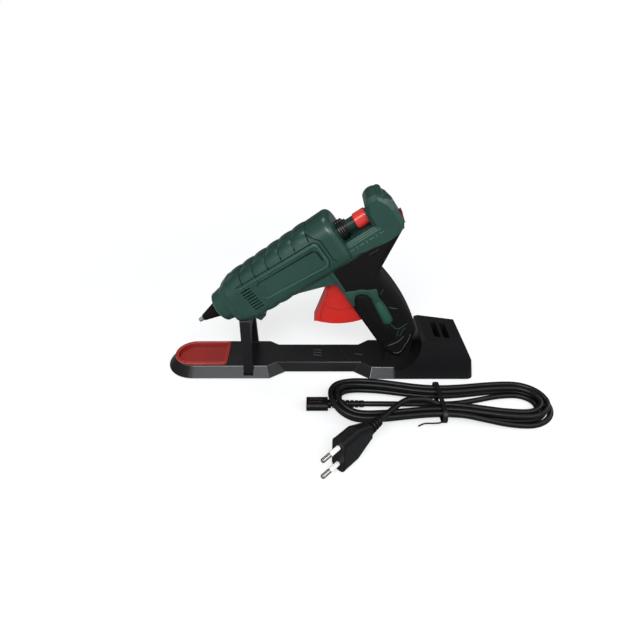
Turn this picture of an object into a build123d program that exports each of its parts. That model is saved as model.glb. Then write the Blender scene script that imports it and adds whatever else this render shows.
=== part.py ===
# Hot glue gun docked in its stand, with its detachable mains lead tied in a hank.
# Millimetres. The origin is on the floor under the middle of the stand, X runs along
# the stand towards the dock, Z is up. The gun has a slanted frame of its own: s runs
# back from the nozzle tip along the glue stick, t stands square to it, y is shared.
import math
import os
from build123d import *

os.makedirs("parts", exist_ok=True)

# Driving dimensions: how the gun sits
nozzle_tip_x = -120.5
nozzle_tip_z = 52.3
gun_pitch = 34.2

# Driving dimensions: fits
running_gap = 0.06
slide_gap = 0.3
seat_gap = 0.1
wall = 2.5
dock_gap = 0.4
floor_gap = 0.15

# Driving dimensions: glue stick way
stick_bore = 5.75
entry_gap = 0.45
tube_wall = 0.75
tube_start = 160.0
tube_end = 212.0

# Driving dimensions: barrel
barrel_mouth = 42.0
barrel_full = 52.0
barrel_end = 170.6
barrel_drop = 1.5
mouth_width = 38.0
barrel_width = 45.0
barrel_height = 46.0
barrel_corner = 14.0
barrel_swell = 3.5
barrel_end_round = 6.0
groove_first = 71.6
groove_pitch = 15.0
groove_count = 6
groove_width = 1.2
groove_depth = 0.8
groove_floor_t = 9.0
panel_start = 81.0
panel_end = 150.0
panel_top = 10.0
panel_bottom = -13.0
panel_depth = 0.8
panel_corner = 8.0
vent_start = 65.0
vent_length = 11.0
vent_height = 1.3
vent_pitch = 3.0
vent_count = 8
vent_top_t = 8.5

# Driving dimensions: rear body, spine, hook and handle
body_width = 35.0
body_round = 7.0
spine_top = -7.5
spine_start = 150.0
hook_start = 199.2
hook_lip_t = 3.0
hook_back = 224.0
hook_top_t = 16.4
hook_chin = 3.0
hook_bevel = 3.5
chin_t = -24.0
handle_front = 141.5
handle_root_t = -12.0
handle_swell = 3.0
neck_s = 181.5
neck_t = -49.0
neck_round = 9.0
butt_bottom_t = -146.5
butt_round = 6.0
grip_skin = 1.6
grip_line_front_t = -18.0
grip_line_back_t = -25.5
cap_line_t = -121.0
fairing_start = 106.0
lug_half = 6.0

# Driving dimensions: trigger and its pivot
pivot_s = 154.6
pivot_t = -21.1
pin_radius = 2.0
trigger_reach = 69.0
trigger_width = 14.0
flange_width = 17.0
flange_depth = 4.0
hub_radius = 5.0
fork_outer = 11.0
fork_thick = 2.0
fork_half = 4.0
fork_top_t = 3.0

# Driving dimensions: feed parts
carriage_start = 141.0
carriage_end = 179.0
carriage_wall = 1.45
trunnion_radius = 2.0
grip_ring_thick = 1.4
knob_start = 187.0
knob_length = 11.8
knob_radius = 7.6
spring_wire = 1.0
spring_turns = 5
plate_start = 122.0
plate_thick = 3.0

# Driving dimensions: hot end
chamber_front = 31.0
chamber_body = 40.0
chamber_end = 110.0
chamber_radius = 10.5
chamber_boss = 8.5
spigot_radius = 7.0
spigot_start = 100.0
heater_width = 13.0
heater_length = 20.0
heater_thick = 2.2
block_start = 50.0
block_end = 96.0
block_width = 18.0
block_bottom = -19.0
ring_thick = 3.0
sleeve_start = 104.0
sleeve_wall = 1.0
clip_start = 105.0
clip_width = 4.0
clip_thick = 0.8
nozzle_hex = 7.0
nozzle_thread = 5.0
thread_end = 40.0
tip_radius = 2.0
ball_radius = 2.6
valve_wire = 0.5
valve_turns = 8
boot_start = 6.0
boot_tip_radius = 3.4
boot_neck = 9.0
boot_flange = 13.5
collar_start = 28.3
collar_end = 41.4
collar_front_radius = 13.2
collar_shoulder_radius = 15.4
collar_back_radius = 17.0
collar_lip_end = 30.0
mouth_tube_start = 38.3
mouth_tube_radius = 14.8
mouth_tube_wall = 2.2

# Driving dimensions: electrics
fuse_radius = 2.0
fuse_start = 76.0
fuse_length = 12.0
board_s = 171.0
board_thick = 1.6
board_top = -55.0
board_bottom = -104.0
wire_radius = 0.9
switch_t = -16.8
switch_height = 11.0
switch_width = 15.0
switch_depth = 13.0
rocker_stand = 1.8
inlet_s = 156.0
inlet_height = 8.6
inlet_width = 15.2
inlet_depth = 12.0
inlet_pin_radius = 1.2
inlet_recess = 9.0
inlet_pin_pitch = 8.6
terminal_height = 6.0

# Driving dimensions: shell screws, at (s, t)
screw_places = [(62.0, 17.0), (133.0, 17.0), (112.0, -17.0), (216.0, 10.5), (190.0, -30.0), (149.0, -112.0)]
screw_radius = 1.5
screw_head = 2.8
screw_head_height = 2.2
screw_seat_y = 12.5
screw_length = 22.0
boss_radius = 4.2

# Driving dimensions: stand
stand_length = 319.0
foot_height = 1.0
plate_top = 10.0
nose_half = 31.0
nose_slope = 45.0
waist_start = -50.0
waist_half = 20.0
waist_slope = 27.0
flare = 16.0
dock_half = 32.0
dock_full = 53.0
dock_slope = 41.6
tower_foot = 84.0
tower_front = 103.0
tower_top = 43.5
tower_back = 147.0
tower_back_top = 37.0
tower_lean = 11.0
tower_tail = 18.0
tower_corner = 7.0
stand_wall = 2.5
base_thick = 2.0
base_screw_places = [(-70.0, 0.0), (20.0, 0.0), (136.0, 0.0)]
seat_start = 70.0
seat_end = 96.0
seat_half = 11.0
seat_height = 39.0
slot_length = 28.0
slot_width = 6.5
slot_depth = 20.0
slot_x = 121.0
slot_pitch = 10.0
tray_start = -150.5
tray_end = -96.0
tray_half = 18.5
tray_slant = 1.5
tray_corner = 3.0
tray_rim = 1.4
tray_wall = 1.6
tray_floor = 5.0
tray_gap = 0.4
yoke_x = -71.5
yoke_width = 10.0
yoke_thick = 5.0
yoke_foot = 3.0
yoke_spread = 26.5
yoke_top_half = 19.5
yoke_top = 63.0
yoke_arch = 51.0
foot_radius = 5.0
nose_foot_x = -140.0
plate_foot_x = -88.0
plate_foot_y = 9.0
dock_foot_x = 60.0
tower_foot_x = 142.0
dock_foot_y = 22.0
stand_screw_radius = 1.5
stand_screw_head = 3.0
stand_head_height = 1.2

# Driving dimensions: mains lead
cord_radius = 2.6
cord_gap = 0.8
layer_gap = 1.1
hank_middle_x = 115.0
hank_middle_y = -72.0
hank_half = 105.0
lobe_half = 27.0
lobe_x = 74.0
waist_cord_half = 18.6
hank_rounds = 2
waist_lift = 1.4
lobe_lift = 3.0
left_lift = 9.2
crossing_run = 23.0
connector_x = -10.5
connector_length = 20.0
connector_width = 15.0
connector_height = 9.0
relief_length = 34.0
relief_radius = 3.6
relief_ribs = 7
contact_radius = 1.9
contact_depth = 13.0
tie_width = 4.0
tie_thick = 1.0
tie_gap = 0.35
plug_tail_x = 53.0
plug_tail_y = -107.0
plug_heading = 226.0
plug_height = 35.3
plug_thick = 13.7
plug_length = 36.0
plug_tail_length = 16.0
plug_tail_radius = 4.2
prong_length = 19.0
prong_radius = 2.0
prong_pitch = 18.6
prong_root = 10.0
prong_neck = 0.5
sleeve_length = 10.0

# The gun's slanted frame
pitch = math.radians(gun_pitch)
axis_dir = Vector(math.cos(pitch), 0, math.sin(pitch))
rise_dir = Vector(-math.sin(pitch), 0, math.cos(pitch))
gun_origin = Vector(nozzle_tip_x, 0, nozzle_tip_z)
stick_axis = Axis(gun_origin, axis_dir)
side_plane = Plane(origin=gun_origin, x_dir=axis_dir, z_dir=(0, -1, 0))


def gun_point(s, t, y=0.0):
    return gun_origin + axis_dir * s + rise_dir * t + Vector(0, y, 0)


def cross_plane(s, t=0.0):
    return Plane(origin=gun_point(s, t), x_dir=(0, 1, 0), z_dir=axis_dir)


def side_axis_plane(s, t, y):
    return Plane(origin=gun_point(s, t, y), x_dir=axis_dir, z_dir=(0, -1, 0))


def height_on_gun(point):
    return (point - gun_origin).dot(rise_dir)


def save(part, name):
    part.label = name
    export_step(part, f"parts/{name}.step")


def turned(profile):
    with BuildPart() as piece:
        with BuildSketch(side_plane):
            with BuildLine():
                Polyline(*profile, close=True)
            make_face()
        revolve(axis=stick_axis)
    return piece.part


def slab(outline, half):
    with BuildPart() as piece:
        with BuildSketch(side_plane):
            with BuildLine():
                Polyline(*outline, close=True)
            make_face()
        extrude(amount=half, both=True)
    return piece.part


def pin_across(s, t, radius, low_y, high_y):
    with BuildPart() as piece:
        with BuildSketch(side_axis_plane(s, t, high_y)):
            Circle(radius)
        extrude(amount=high_y - low_y)
    return piece.part


def biarc(start, start_dir, end, end_dir):
    # Two arcs that leave start along start_dir and reach end along end_dir
    chord = end - start
    dirs = start_dir + end_dir
    a = 2 * (1 - start_dir.dot(end_dir))
    b = 2 * chord.dot(dirs)
    c = -chord.dot(chord)
    reach = (-b + math.sqrt(b * b - 4 * a * c)) / (2 * a) if a > 1e-9 else -c / b
    middle = (start + start_dir * reach + end - end_dir * reach) * 0.5
    middle_dir = (end - end_dir * reach - start - start_dir * reach).normalized()
    return [(start, middle, start_dir), (middle, end, middle_dir)]


def least_gap(points, radius, skip):
    # Least gap between stretches of a tube that are further apart along it than skip
    best = 1e9
    for i in range(len(points)):
        for j in range(i + skip, len(points)):
            best = min(best, (points[i] - points[j]).length)
    return best - 2 * radius


def coil(start_s, end_s, mean_radius, wire, turns):
    # A spring on the stick axis: quarter turns, each a pair of arcs
    rise = (end_s - start_s - 2 * wire) / (turns * 2 * math.pi)
    lean = math.hypot(mean_radius, rise)

    def place(angle):
        flat = Vector(0, math.cos(angle), 0) + rise_dir * math.sin(angle)
        return gun_point(start_s + wire + rise * angle, 0) + flat * mean_radius

    def heading(angle):
        flat = Vector(0, -math.sin(angle), 0) + rise_dir * math.cos(angle)
        return (flat * mean_radius + axis_dir * rise) * (1 / lean)

    angles = [i * math.pi / 2 for i in range(4 * turns + 1)]
    with BuildPart() as piece:
        with BuildLine() as path:
            for first, last in zip(angles, angles[1:]):
                for p, q, tangent in biarc(place(first), heading(first), place(last), heading(last)):
                    TangentArc(p, q, tangent=tangent)
        with BuildSketch(Plane(origin=place(0), z_dir=heading(0))):
            Circle(wire / 2)
        sweep(path=path.wire())
    samples = [path.wire().position_at(i / (40 * turns)) for i in range(40 * turns + 1)]
    print("spring least gap to itself", round(least_gap(samples, wire / 2, 20), 2))
    return piece.part


# Barrel: rounded rectangle sections, a short flare at the mouth and then a slight swell
def barrel_size(s):
    if s < barrel_full:
        share = (s - barrel_full) / (barrel_full - barrel_mouth)
        grow = (barrel_width - mouth_width) * share
    else:
        grow = barrel_swell * (s - barrel_full) / (barrel_end - barrel_full)
    return barrel_width + grow, barrel_height + grow, barrel_corner + grow / 2


def barrel_solid(inset, start, end):
    width, height, corner = barrel_size(start)
    grow = (barrel_size(end)[0] - width) / 2
    with BuildPart() as piece:
        with BuildSketch(cross_plane(start, -barrel_drop)):
            RectangleRounded(width - 2 * inset, height - 2 * inset, corner - inset)
        extrude(amount=end - start, taper=-math.degrees(math.atan2(grow, end - start)))
    return piece.part


with BuildPart() as barrel:
    add(barrel_solid(0, barrel_mouth, barrel_full))
    add(barrel_solid(0, barrel_full, barrel_end))
    fillet(barrel.faces().sort_by(stick_axis)[-1].edges(), barrel_end_round)


# Rear body, lower part: handle and the slant up to the hook, smooth all round
def handle_solid(inset):
    with BuildPart() as piece:
        with BuildSketch(side_plane) as outline:
            with BuildLine():
                ThreePointArc(
                    (neck_s - 1.5, cap_line_t - 4),
                    (neck_s + handle_swell, (neck_t + cap_line_t) / 2),
                    (neck_s, neck_t),
                )
                Polyline(
                    (neck_s, neck_t),
                    (hook_back - hook_chin, chin_t),
                    (hook_back - hook_chin, handle_root_t),
                    (handle_front, handle_root_t),
                    (handle_front - 2.0, cap_line_t - 8),
                    (handle_front + 7.0, butt_bottom_t),
                    (neck_s - 9.0, cap_line_t - 11),
                    (neck_s - 1.5, cap_line_t - 4),
                )
            make_face()
            fillet(outline.vertices().filter_by(lambda v: v.Y < cap_line_t), butt_round)
            fillet(outline.vertices().filter_by(lambda v: abs(v.Y - neck_t) < 0.01), neck_round)
            if inset:
                offset(amount=-inset, kind=Kind.INTERSECTION)
        extrude(amount=body_width / 2 - inset, both=True)
        side_edges = piece.faces().filter_by(Axis.Y).edges()
        low_edges = side_edges.filter_by(lambda e: height_on_gun(e.center()) < handle_root_t - 5.5)
        fillet(low_edges, body_round - inset)
    return piece.part


# Rear body, upper part: spine, notch and hook, with bevelled sides
def hook_solid():
    with BuildPart() as piece:
        with BuildSketch(side_plane):
            with BuildLine():
                Polyline(
                    (spine_start, chin_t - 4),
                    (spine_start, spine_top),
                    (hook_start, spine_top),
                    (hook_start, hook_lip_t),
                    (hook_start + 3.3, hook_top_t - 3.9),
                )
                ThreePointArc(
                    (hook_start + 3.3, hook_top_t - 3.9),
                    (hook_start + 10.0, hook_top_t),
                    (hook_back - 7.0, hook_top_t - 2.4),
                )
                Polyline(
                    (hook_back - 7.0, hook_top_t - 2.4),
                    (hook_back - 2.2, hook_top_t - 10.4),
                    (hook_back, spine_top + 4.5),
                    (hook_back, chin_t + 6),
                    (hook_back - hook_chin, chin_t),
                    (spine_start, chin_t - 4),
                )
            make_face()
        extrude(amount=body_width / 2, both=True)
        chamfer(piece.faces().filter_by(Axis.Y).edges(), hook_bevel)
    return piece.part


fairing_outline = [
    (fairing_start, spine_top - 5),
    (fairing_start, pivot_t - 3),
    (handle_front - 13.5, pivot_t - 10),
    (handle_front + 3, pivot_t - 16),
    (handle_front + 3, spine_top - 5),
]
fairing = slab(fairing_outline, body_width / 2 - 2)
handle_skin = handle_solid(0)
handle_core = handle_solid(grip_skin)
handle_void = handle_solid(grip_skin + wall)
hook = hook_solid()

below_grip_line = slab(
    [
        (fairing_start, grip_line_front_t - 30),
        (handle_front - 20, grip_line_front_t),
        (handle_front + 12, grip_line_front_t),
        (hook_start + 3, grip_line_back_t),
        (hook_back + 30, grip_line_back_t),
        (hook_back + 30, cap_line_t),
        (fairing_start, cap_line_t),
    ],
    body_width,
)
below_cap_line = slab(
    [
        (fairing_start, cap_line_t),
        (hook_back + 30, cap_line_t),
        (hook_back + 30, cap_line_t - 60),
        (fairing_start, cap_line_t - 60),
    ],
    body_width,
)
carriage_bore = stick_bore + tube_wall + slide_gap
carriage_radius = carriage_bore + carriage_wall
tube_radius = stick_bore + tube_wall
trigger_slot = slab(
    [
        (handle_front - 16, pivot_t + 2),
        (handle_front + wall + grip_skin + 2, pivot_t + 2),
        (handle_front + wall + grip_skin + 2, pivot_t - trigger_reach - 4),
        (handle_front - 16, pivot_t - trigger_reach - 4),
    ],
    flange_width / 2 + slide_gap,
)
mouth_void = barrel_solid(wall, barrel_mouth + wall, barrel_full)
barrel_void = barrel_solid(wall, barrel_full, barrel_end - wall)
void_limit = slab(
    [
        (handle_front - 20, cap_line_t - 1),
        (hook_start + 2, cap_line_t - 1),
        (hook_start + 2, spine_top - wall),
        (handle_front - 20, spine_top - wall),
    ],
    body_width,
)
switch_front = hook_back - switch_depth
handle_hollow = handle_void & void_limit
grip_shell = (handle_skin - handle_core) & below_grip_line

# Bosses of the shell screws, trimmed to the walls around them
boss_ends = barrel_width / 2 + barrel_swell
barrel_boss_limit = barrel_solid(wall / 2, barrel_full, barrel_end)
screw_bosses = []
for place_s, place_t in screw_places[:3]:
    screw_bosses.append(pin_across(place_s, place_t, boss_radius, -boss_ends, boss_ends) & barrel_boss_limit)
for place_s, place_t in screw_places[3:]:
    boss_end = body_width / 2 - wall
    screw_bosses.append(pin_across(place_s, place_t, boss_radius, -boss_end, boss_end))
lug = slab([(49, -22), (54.5, -33), (62, -31), (66, -23)], lug_half)

# Both halves of the body in one, before it is split on the centre plane
with BuildPart() as body:
    add(barrel.part)
    for groove in range(groove_count):
        groove_s = groove_first + groove * groove_pitch
        width, height, corner = barrel_size(groove_s)
        with BuildSketch(cross_plane(groove_s, -barrel_drop)):
            RectangleRounded(width + 4, height + 4, corner + 2)
            RectangleRounded(
                width - 2 * groove_depth,
                height - 2 * groove_depth,
                corner - groove_depth,
                mode=Mode.SUBTRACT,
            )
            with Locations((0, groove_floor_t + barrel_drop - height)):
                Rectangle(width + 10, 2 * height, mode=Mode.SUBTRACT)
        extrude(amount=groove_width / 2, both=True, mode=Mode.SUBTRACT)
    add(fairing)
    add(handle_skin)
    add(hook)
    add(lug)
    add(mouth_void, mode=Mode.SUBTRACT)
    add(barrel_void, mode=Mode.SUBTRACT)
    add(handle_hollow, mode=Mode.SUBTRACT)
    add(grip_shell, mode=Mode.SUBTRACT)
    add(below_cap_line, mode=Mode.SUBTRACT)
    add(trigger_slot, mode=Mode.SUBTRACT)
    # mouth tube that carries the front collar
    add(
        turned(
            [
                (mouth_tube_start, mouth_tube_radius - mouth_tube_wall),
                (mouth_tube_start, mouth_tube_radius),
                (barrel_mouth + wall, mouth_tube_radius),
                (barrel_mouth + wall, mouth_tube_radius - mouth_tube_wall),
            ]
        )
    )
    add(
        turned(
            [
                (barrel_mouth - 1, 0),
                (barrel_mouth - 1, mouth_tube_radius - mouth_tube_wall),
                (barrel_mouth + wall + 1, mouth_tube_radius - mouth_tube_wall),
                (barrel_mouth + wall + 1, 0),
            ]
        ),
        mode=Mode.SUBTRACT,
    )
    # way for the feed carriage, the knob and the glue stick
    with BuildSketch(cross_plane(barrel_end - 3 * wall)):
        Circle(carriage_radius + slide_gap)
    extrude(amount=hook_start - barrel_end + 3 * wall, mode=Mode.SUBTRACT)
    with BuildSketch(cross_plane(hook_start - 1)):
        Circle(tube_radius + running_gap)
    extrude(amount=tube_end - hook_start + 1, mode=Mode.SUBTRACT)
    with BuildSketch(cross_plane(tube_end - 1)):
        Circle(stick_bore + entry_gap)
    extrude(amount=hook_back - tube_end + 2, mode=Mode.SUBTRACT)
    # switch pocket in the hook's back
    with BuildSketch(cross_plane(switch_front, switch_t)):
        Rectangle(switch_width + 2 * seat_gap, switch_height + 2 * seat_gap)
    extrude(amount=switch_depth + 2, mode=Mode.SUBTRACT)
    with BuildSketch(cross_plane(hook_start - 4, switch_t)):
        Rectangle(switch_width - 5, switch_height - 5)
    extrude(amount=switch_front - hook_start + 5, mode=Mode.SUBTRACT)
    # label panels and vents on both sides
    for side in (-1, 1):
        face_y = side * (barrel_width / 2 + barrel_swell * 0.42)
        with BuildSketch(side_axis_plane(0, 0, face_y)):
            with BuildLine():
                Polyline(
                    (panel_start + 2, panel_top),
                    (panel_end - panel_corner, panel_top),
                    (panel_end, panel_top - panel_corner),
                    (panel_end, panel_bottom + panel_corner),
                    (panel_end - panel_corner, panel_bottom),
                    (panel_start, panel_bottom),
                    close=True,
                )
            make_face()
        extrude(amount=panel_depth, both=True, mode=Mode.SUBTRACT)
        for vent in range(vent_count):
            vent_t = vent_top_t - vent * vent_pitch
            with BuildSketch(side_axis_plane(vent_start + vent_length / 2, vent_t, face_y)):
                SlotOverall(vent_length, vent_height)
            extrude(amount=2 * wall, both=True, mode=Mode.SUBTRACT)
    # bosses: trigger pin and screws
    for boss in screw_bosses:
        add(boss)
    for side in (-1, 1):
        low_y, high_y = sorted((side * (fork_outer + slide_gap), side * (body_width / 2 - wall)))
        add(pin_across(pivot_s, pivot_t, hub_radius, low_y, high_y))
    pin_end = body_width / 2 - wall
    add(pin_across(pivot_s, pivot_t, pin_radius + running_gap, -pin_end, pin_end), mode=Mode.SUBTRACT)
    for place_s, place_t in screw_places:
        low_y = screw_seat_y - screw_length
        add(pin_across(place_s, place_t, screw_radius + running_gap, low_y, screw_seat_y), mode=Mode.SUBTRACT)
        add(pin_across(place_s, place_t, screw_head + seat_gap, screw_seat_y, 40), mode=Mode.SUBTRACT)
print("body", round(body.part.volume), body.part.is_valid, len(body.part.solids()))

# Body shells, grips and butt cap
with BuildPart() as right_shell:
    add(body.part)
    split(bisect_by=Plane.XZ, keep=Keep.TOP)
save(right_shell.part, "right_shell")

with BuildPart() as left_shell:
    add(body.part)
    split(bisect_by=Plane.XZ, keep=Keep.BOTTOM)
save(left_shell.part, "left_shell")

with BuildPart() as grip:
    add(grip_shell)
    add(trigger_slot, mode=Mode.SUBTRACT)
    add(hook, mode=Mode.SUBTRACT)
    add(barrel.part, mode=Mode.SUBTRACT)
    add(fairing, mode=Mode.SUBTRACT)
    for place_s, place_t in screw_places[4:]:
        add(pin_across(place_s, place_t, screw_head + seat_gap, screw_seat_y, 40), mode=Mode.SUBTRACT)

with BuildPart() as right_grip:
    add(grip.part)
    split(bisect_by=Plane.XZ, keep=Keep.TOP)
save(right_grip.part, "right_grip")

with BuildPart() as left_grip:
    add(grip.part)
    split(bisect_by=Plane.XZ, keep=Keep.BOTTOM)
save(left_grip.part, "left_grip")

inlet_plane = Plane(origin=gun_point(inlet_s, butt_bottom_t - 2), x_dir=(0, 1, 0), z_dir=rise_dir)
cap_solid = handle_skin & below_cap_line
cap_void = handle_solid(wall) & below_cap_line
with BuildPart() as butt_cap:
    add(cap_solid)
    add(cap_void, mode=Mode.SUBTRACT)
    # well for the mains connector, with its own walls
    with BuildSketch(inlet_plane):
        SlotOverall(inlet_width + 2 * wall, inlet_height + 2 * wall)
    extrude(amount=inlet_depth + 2)
    add(cap_solid, mode=Mode.INTERSECT)
    with BuildSketch(inlet_plane):
        SlotOverall(inlet_width, inlet_height)
    extrude(amount=inlet_depth + 2, mode=Mode.SUBTRACT)
save(butt_cap.part, "butt_cap")

with BuildPart() as inlet_body:
    with BuildSketch(inlet_plane.offset(inlet_depth + 2)):
        SlotOverall(inlet_width + 2 * wall, inlet_height + 2 * wall)
    extrude(amount=terminal_height)
    with BuildSketch(inlet_plane.offset(inlet_depth + 2)):
        with GridLocations(inlet_pin_pitch, 0, 2, 1):
            Circle(inlet_pin_radius + running_gap)
    extrude(amount=terminal_height, mode=Mode.SUBTRACT)
save(inlet_body.part, "inlet_body")

with BuildPart() as inlet_pins:
    with BuildSketch(inlet_plane.offset(inlet_recess)):
        with GridLocations(inlet_pin_pitch, 0, 2, 1):
            Circle(inlet_pin_radius)
    extrude(amount=inlet_depth + terminal_height + 3 - inlet_recess)
save(inlet_pins.part, "inlet_pins")

# Screws enter from the far side, heads down in deep wells
with BuildPart() as shell_screws:
    for place_s, place_t in screw_places:
        add(pin_across(place_s, place_t, screw_radius, screw_seat_y + 1 - screw_length, screw_seat_y))
        add(pin_across(place_s, place_t, screw_head, screw_seat_y, screw_seat_y + screw_head_height))
        with BuildSketch(side_axis_plane(place_s, place_t, screw_seat_y + screw_head_height)):
            Rectangle(0.6, screw_head)
            Rectangle(screw_head, 0.6)
        extrude(amount=0.9, mode=Mode.SUBTRACT)
save(shell_screws.part, "shell_screws")

# Nozzle, check valve and boot
nozzle_cavity = ball_radius + slide_gap
nozzle_profile = [
    (0, 0.9),
    (0, tip_radius),
    (boot_start + 1, tip_radius + 0.6),
    (boot_start + 4, boot_tip_radius - 0.7),
    (chamber_front - 8, nozzle_hex),
    (chamber_front, nozzle_hex),
    (chamber_front, nozzle_thread),
    (thread_end, nozzle_thread),
    (thread_end, nozzle_cavity),
    (boot_start + 10, nozzle_cavity),
    (boot_start + 8, 0.9),
]
nozzle = turned(nozzle_profile)
save(nozzle, "nozzle")

melt_hole = 1.6
ball_s = thread_end + seat_gap - math.sqrt(ball_radius**2 - melt_hole**2) - 0.05
with BuildPart() as valve_ball:
    with Locations(gun_point(ball_s, 0)):
        Sphere(ball_radius)
save(valve_ball.part, "valve_ball")

valve_start = boot_start + 10 + seat_gap
valve_end = ball_s - ball_radius - seat_gap
valve_spring = coil(valve_start, valve_end, nozzle_cavity - valve_wire, valve_wire, valve_turns)
save(valve_spring, "valve_spring")

boot_profile = [
    (boot_start, boot_tip_radius - 0.8),
    (boot_start, boot_tip_radius),
    (collar_start, boot_neck),
    (collar_lip_end + 0.2, boot_neck),
    (collar_lip_end + 0.2, boot_flange),
    (mouth_tube_start - seat_gap, boot_flange),
    (mouth_tube_start - seat_gap, chamber_boss + slide_gap),
    (chamber_front - slide_gap, chamber_boss + slide_gap),
    (chamber_front - slide_gap, nozzle_hex + slide_gap),
    (chamber_front - 8, nozzle_hex + slide_gap),
    (boot_start + 4, boot_tip_radius - 0.3),
]
nozzle_boot = turned(boot_profile)
save(nozzle_boot, "nozzle_boot")

collar_profile = [
    (collar_start, boot_neck + slide_gap),
    (collar_start, collar_front_radius),
    (collar_lip_end, collar_shoulder_radius),
    (collar_end - 3, collar_back_radius),
    (collar_end, collar_back_radius),
    (collar_end, mouth_tube_radius + seat_gap),
    (mouth_tube_start - 0.5, mouth_tube_radius + seat_gap),
    (mouth_tube_start - 0.5, boot_flange + slide_gap),
    (collar_lip_end, boot_flange + slide_gap),
    (collar_lip_end, boot_neck + slide_gap),
]
front_collar = turned(collar_profile)
save(front_collar, "front_collar")

# Melt chamber with the heater block under it
with BuildPart() as melt_chamber:
    with BuildSketch(side_plane):
        with BuildLine():
            Polyline(
                (chamber_front, nozzle_thread + running_gap),
                (chamber_front, chamber_boss),
                (chamber_body, chamber_boss),
                (chamber_body, chamber_radius),
                (spigot_start, chamber_radius),
                (spigot_start, spigot_radius),
                (chamber_end, spigot_radius),
                (chamber_end, stick_bore),
                (block_start, stick_bore),
                (thread_end + 2, melt_hole),
                (thread_end + seat_gap, melt_hole),
                (thread_end + seat_gap, nozzle_thread + running_gap),
                close=True,
            )
        make_face()
    revolve(axis=stick_axis)
    with BuildSketch(cross_plane(block_start, (block_bottom - stick_bore - 1.5) / 2)):
        Rectangle(block_width, -block_bottom - stick_bore - 1.5)
    extrude(amount=block_end - block_start)
    wedge_thick = -block_bottom - 2 * wall - chamber_radius - heater_thick + wall
    with BuildSketch(cross_plane(block_start + wall, block_bottom + wall + (heater_thick + wedge_thick) / 2)):
        Rectangle(heater_width, heater_thick + wedge_thick)
    extrude(amount=block_end - block_start, mode=Mode.SUBTRACT)
save(melt_chamber.part, "melt_chamber")

with BuildPart() as heaters:
    for place in range(2):
        heater_s = block_start + wall + seat_gap + place * (heater_length + 0.5)
        with BuildSketch(cross_plane(heater_s, block_bottom + wall + heater_thick / 2)):
            Rectangle(heater_width - 2 * seat_gap, heater_thick)
        extrude(amount=heater_length)
save(heaters.part, "heaters")

with BuildPart() as heater_wedge:
    wedge_t = block_bottom + wall + heater_thick + wedge_thick / 2
    with BuildSketch(cross_plane(block_start + wall + seat_gap, wedge_t)):
        Rectangle(heater_width - 2 * seat_gap, wedge_thick)
    extrude(amount=2 * heater_length + 0.5)
save(heater_wedge.part, "heater_wedge")


def cross_wall(start, thick, bore):
    width, height, corner = barrel_size(start)
    with BuildPart() as piece:
        with BuildSketch(cross_plane(start, -barrel_drop)):
            RectangleRounded(
                width - 2 * wall - 2 * seat_gap,
                height - 2 * wall - 2 * seat_gap,
                corner - wall - seat_gap,
            )
        extrude(amount=thick)
        with BuildSketch(cross_plane(start)):
            Circle(bore)
            for side in (-1, 1):
                with Locations((side * heater_wire_y, heater_wire_t), (side * side_wire_y, heater_wire_t)):
                    Circle(wire_radius + slide_gap)
        extrude(amount=thick, mode=Mode.SUBTRACT)
    return piece.part


heater_wire_t = -10.5
heater_wire_y = 7.6
side_wire_y = body_width / 2 - grip_skin - wall - wire_radius - 0.2
front_ring = cross_wall(chamber_body + 7.5, ring_thick - 0.5, chamber_radius + seat_gap)
save(front_ring, "front_ring")
rear_ring = cross_wall(block_end + 0.5, ring_thick, chamber_radius + seat_gap)
save(rear_ring, "rear_ring")
sleeve_radius = spigot_radius + running_gap + sleeve_wall
sleeve_plate = cross_wall(plate_start, plate_thick, carriage_bore)
save(sleeve_plate, "sleeve_plate")

sleeve_profile = [
    (sleeve_start, spigot_radius + running_gap),
    (sleeve_start, sleeve_radius),
    (plate_start - seat_gap, sleeve_radius),
    (plate_start - seat_gap, stick_bore + 0.1),
    (chamber_end + 0.2, stick_bore + 0.1),
    (chamber_end + 0.2, spigot_radius + running_gap),
]
inlet_sleeve = turned(sleeve_profile)
save(inlet_sleeve, "inlet_sleeve")

clip_profile = [
    (clip_start, sleeve_radius + 0.05),
    (clip_start, sleeve_radius + clip_thick),
    (clip_start + clip_width, sleeve_radius + clip_thick),
    (clip_start + clip_width, sleeve_radius + 0.05),
]
sleeve_clip = turned(clip_profile)
save(sleeve_clip, "sleeve_clip")

with BuildPart() as thermal_fuse:
    with BuildSketch(cross_plane(fuse_start, chamber_radius + fuse_radius + seat_gap)):
        Circle(fuse_radius)
    extrude(amount=fuse_length)
save(thermal_fuse.part, "thermal_fuse")

# Feed: guide tube, carriage, grip ring, spring and adjuster knob
tube_profile = [
    (tube_start, stick_bore),
    (tube_start, tube_radius),
    (tube_end - seat_gap, tube_radius),
    (tube_end - seat_gap, stick_bore),
]
save(turned(tube_profile), "guide_tube")

with BuildPart() as feed_carriage:
    add(
        turned(
            [
                (carriage_start, carriage_bore),
                (carriage_start, carriage_radius),
                (carriage_end, carriage_radius),
                (carriage_end, carriage_bore),
            ]
        )
    )
    for rib in range(3):
        rib_s = carriage_end - 2.2 - rib * 2.0
        add(
            turned(
                [
                    (rib_s, carriage_radius - 0.5),
                    (rib_s, carriage_radius + 1),
                    (rib_s + 0.9, carriage_radius + 1),
                    (rib_s + 0.9, carriage_radius - 0.5),
                ]
            ),
            mode=Mode.SUBTRACT,
        )
    trunnion_end = fork_outer - seat_gap
    add(pin_across(pivot_s, 0, trunnion_radius, carriage_radius - 1, trunnion_end))
    add(pin_across(pivot_s, 0, trunnion_radius, -trunnion_end, 1 - carriage_radius))
save(feed_carriage.part, "feed_carriage")

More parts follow.
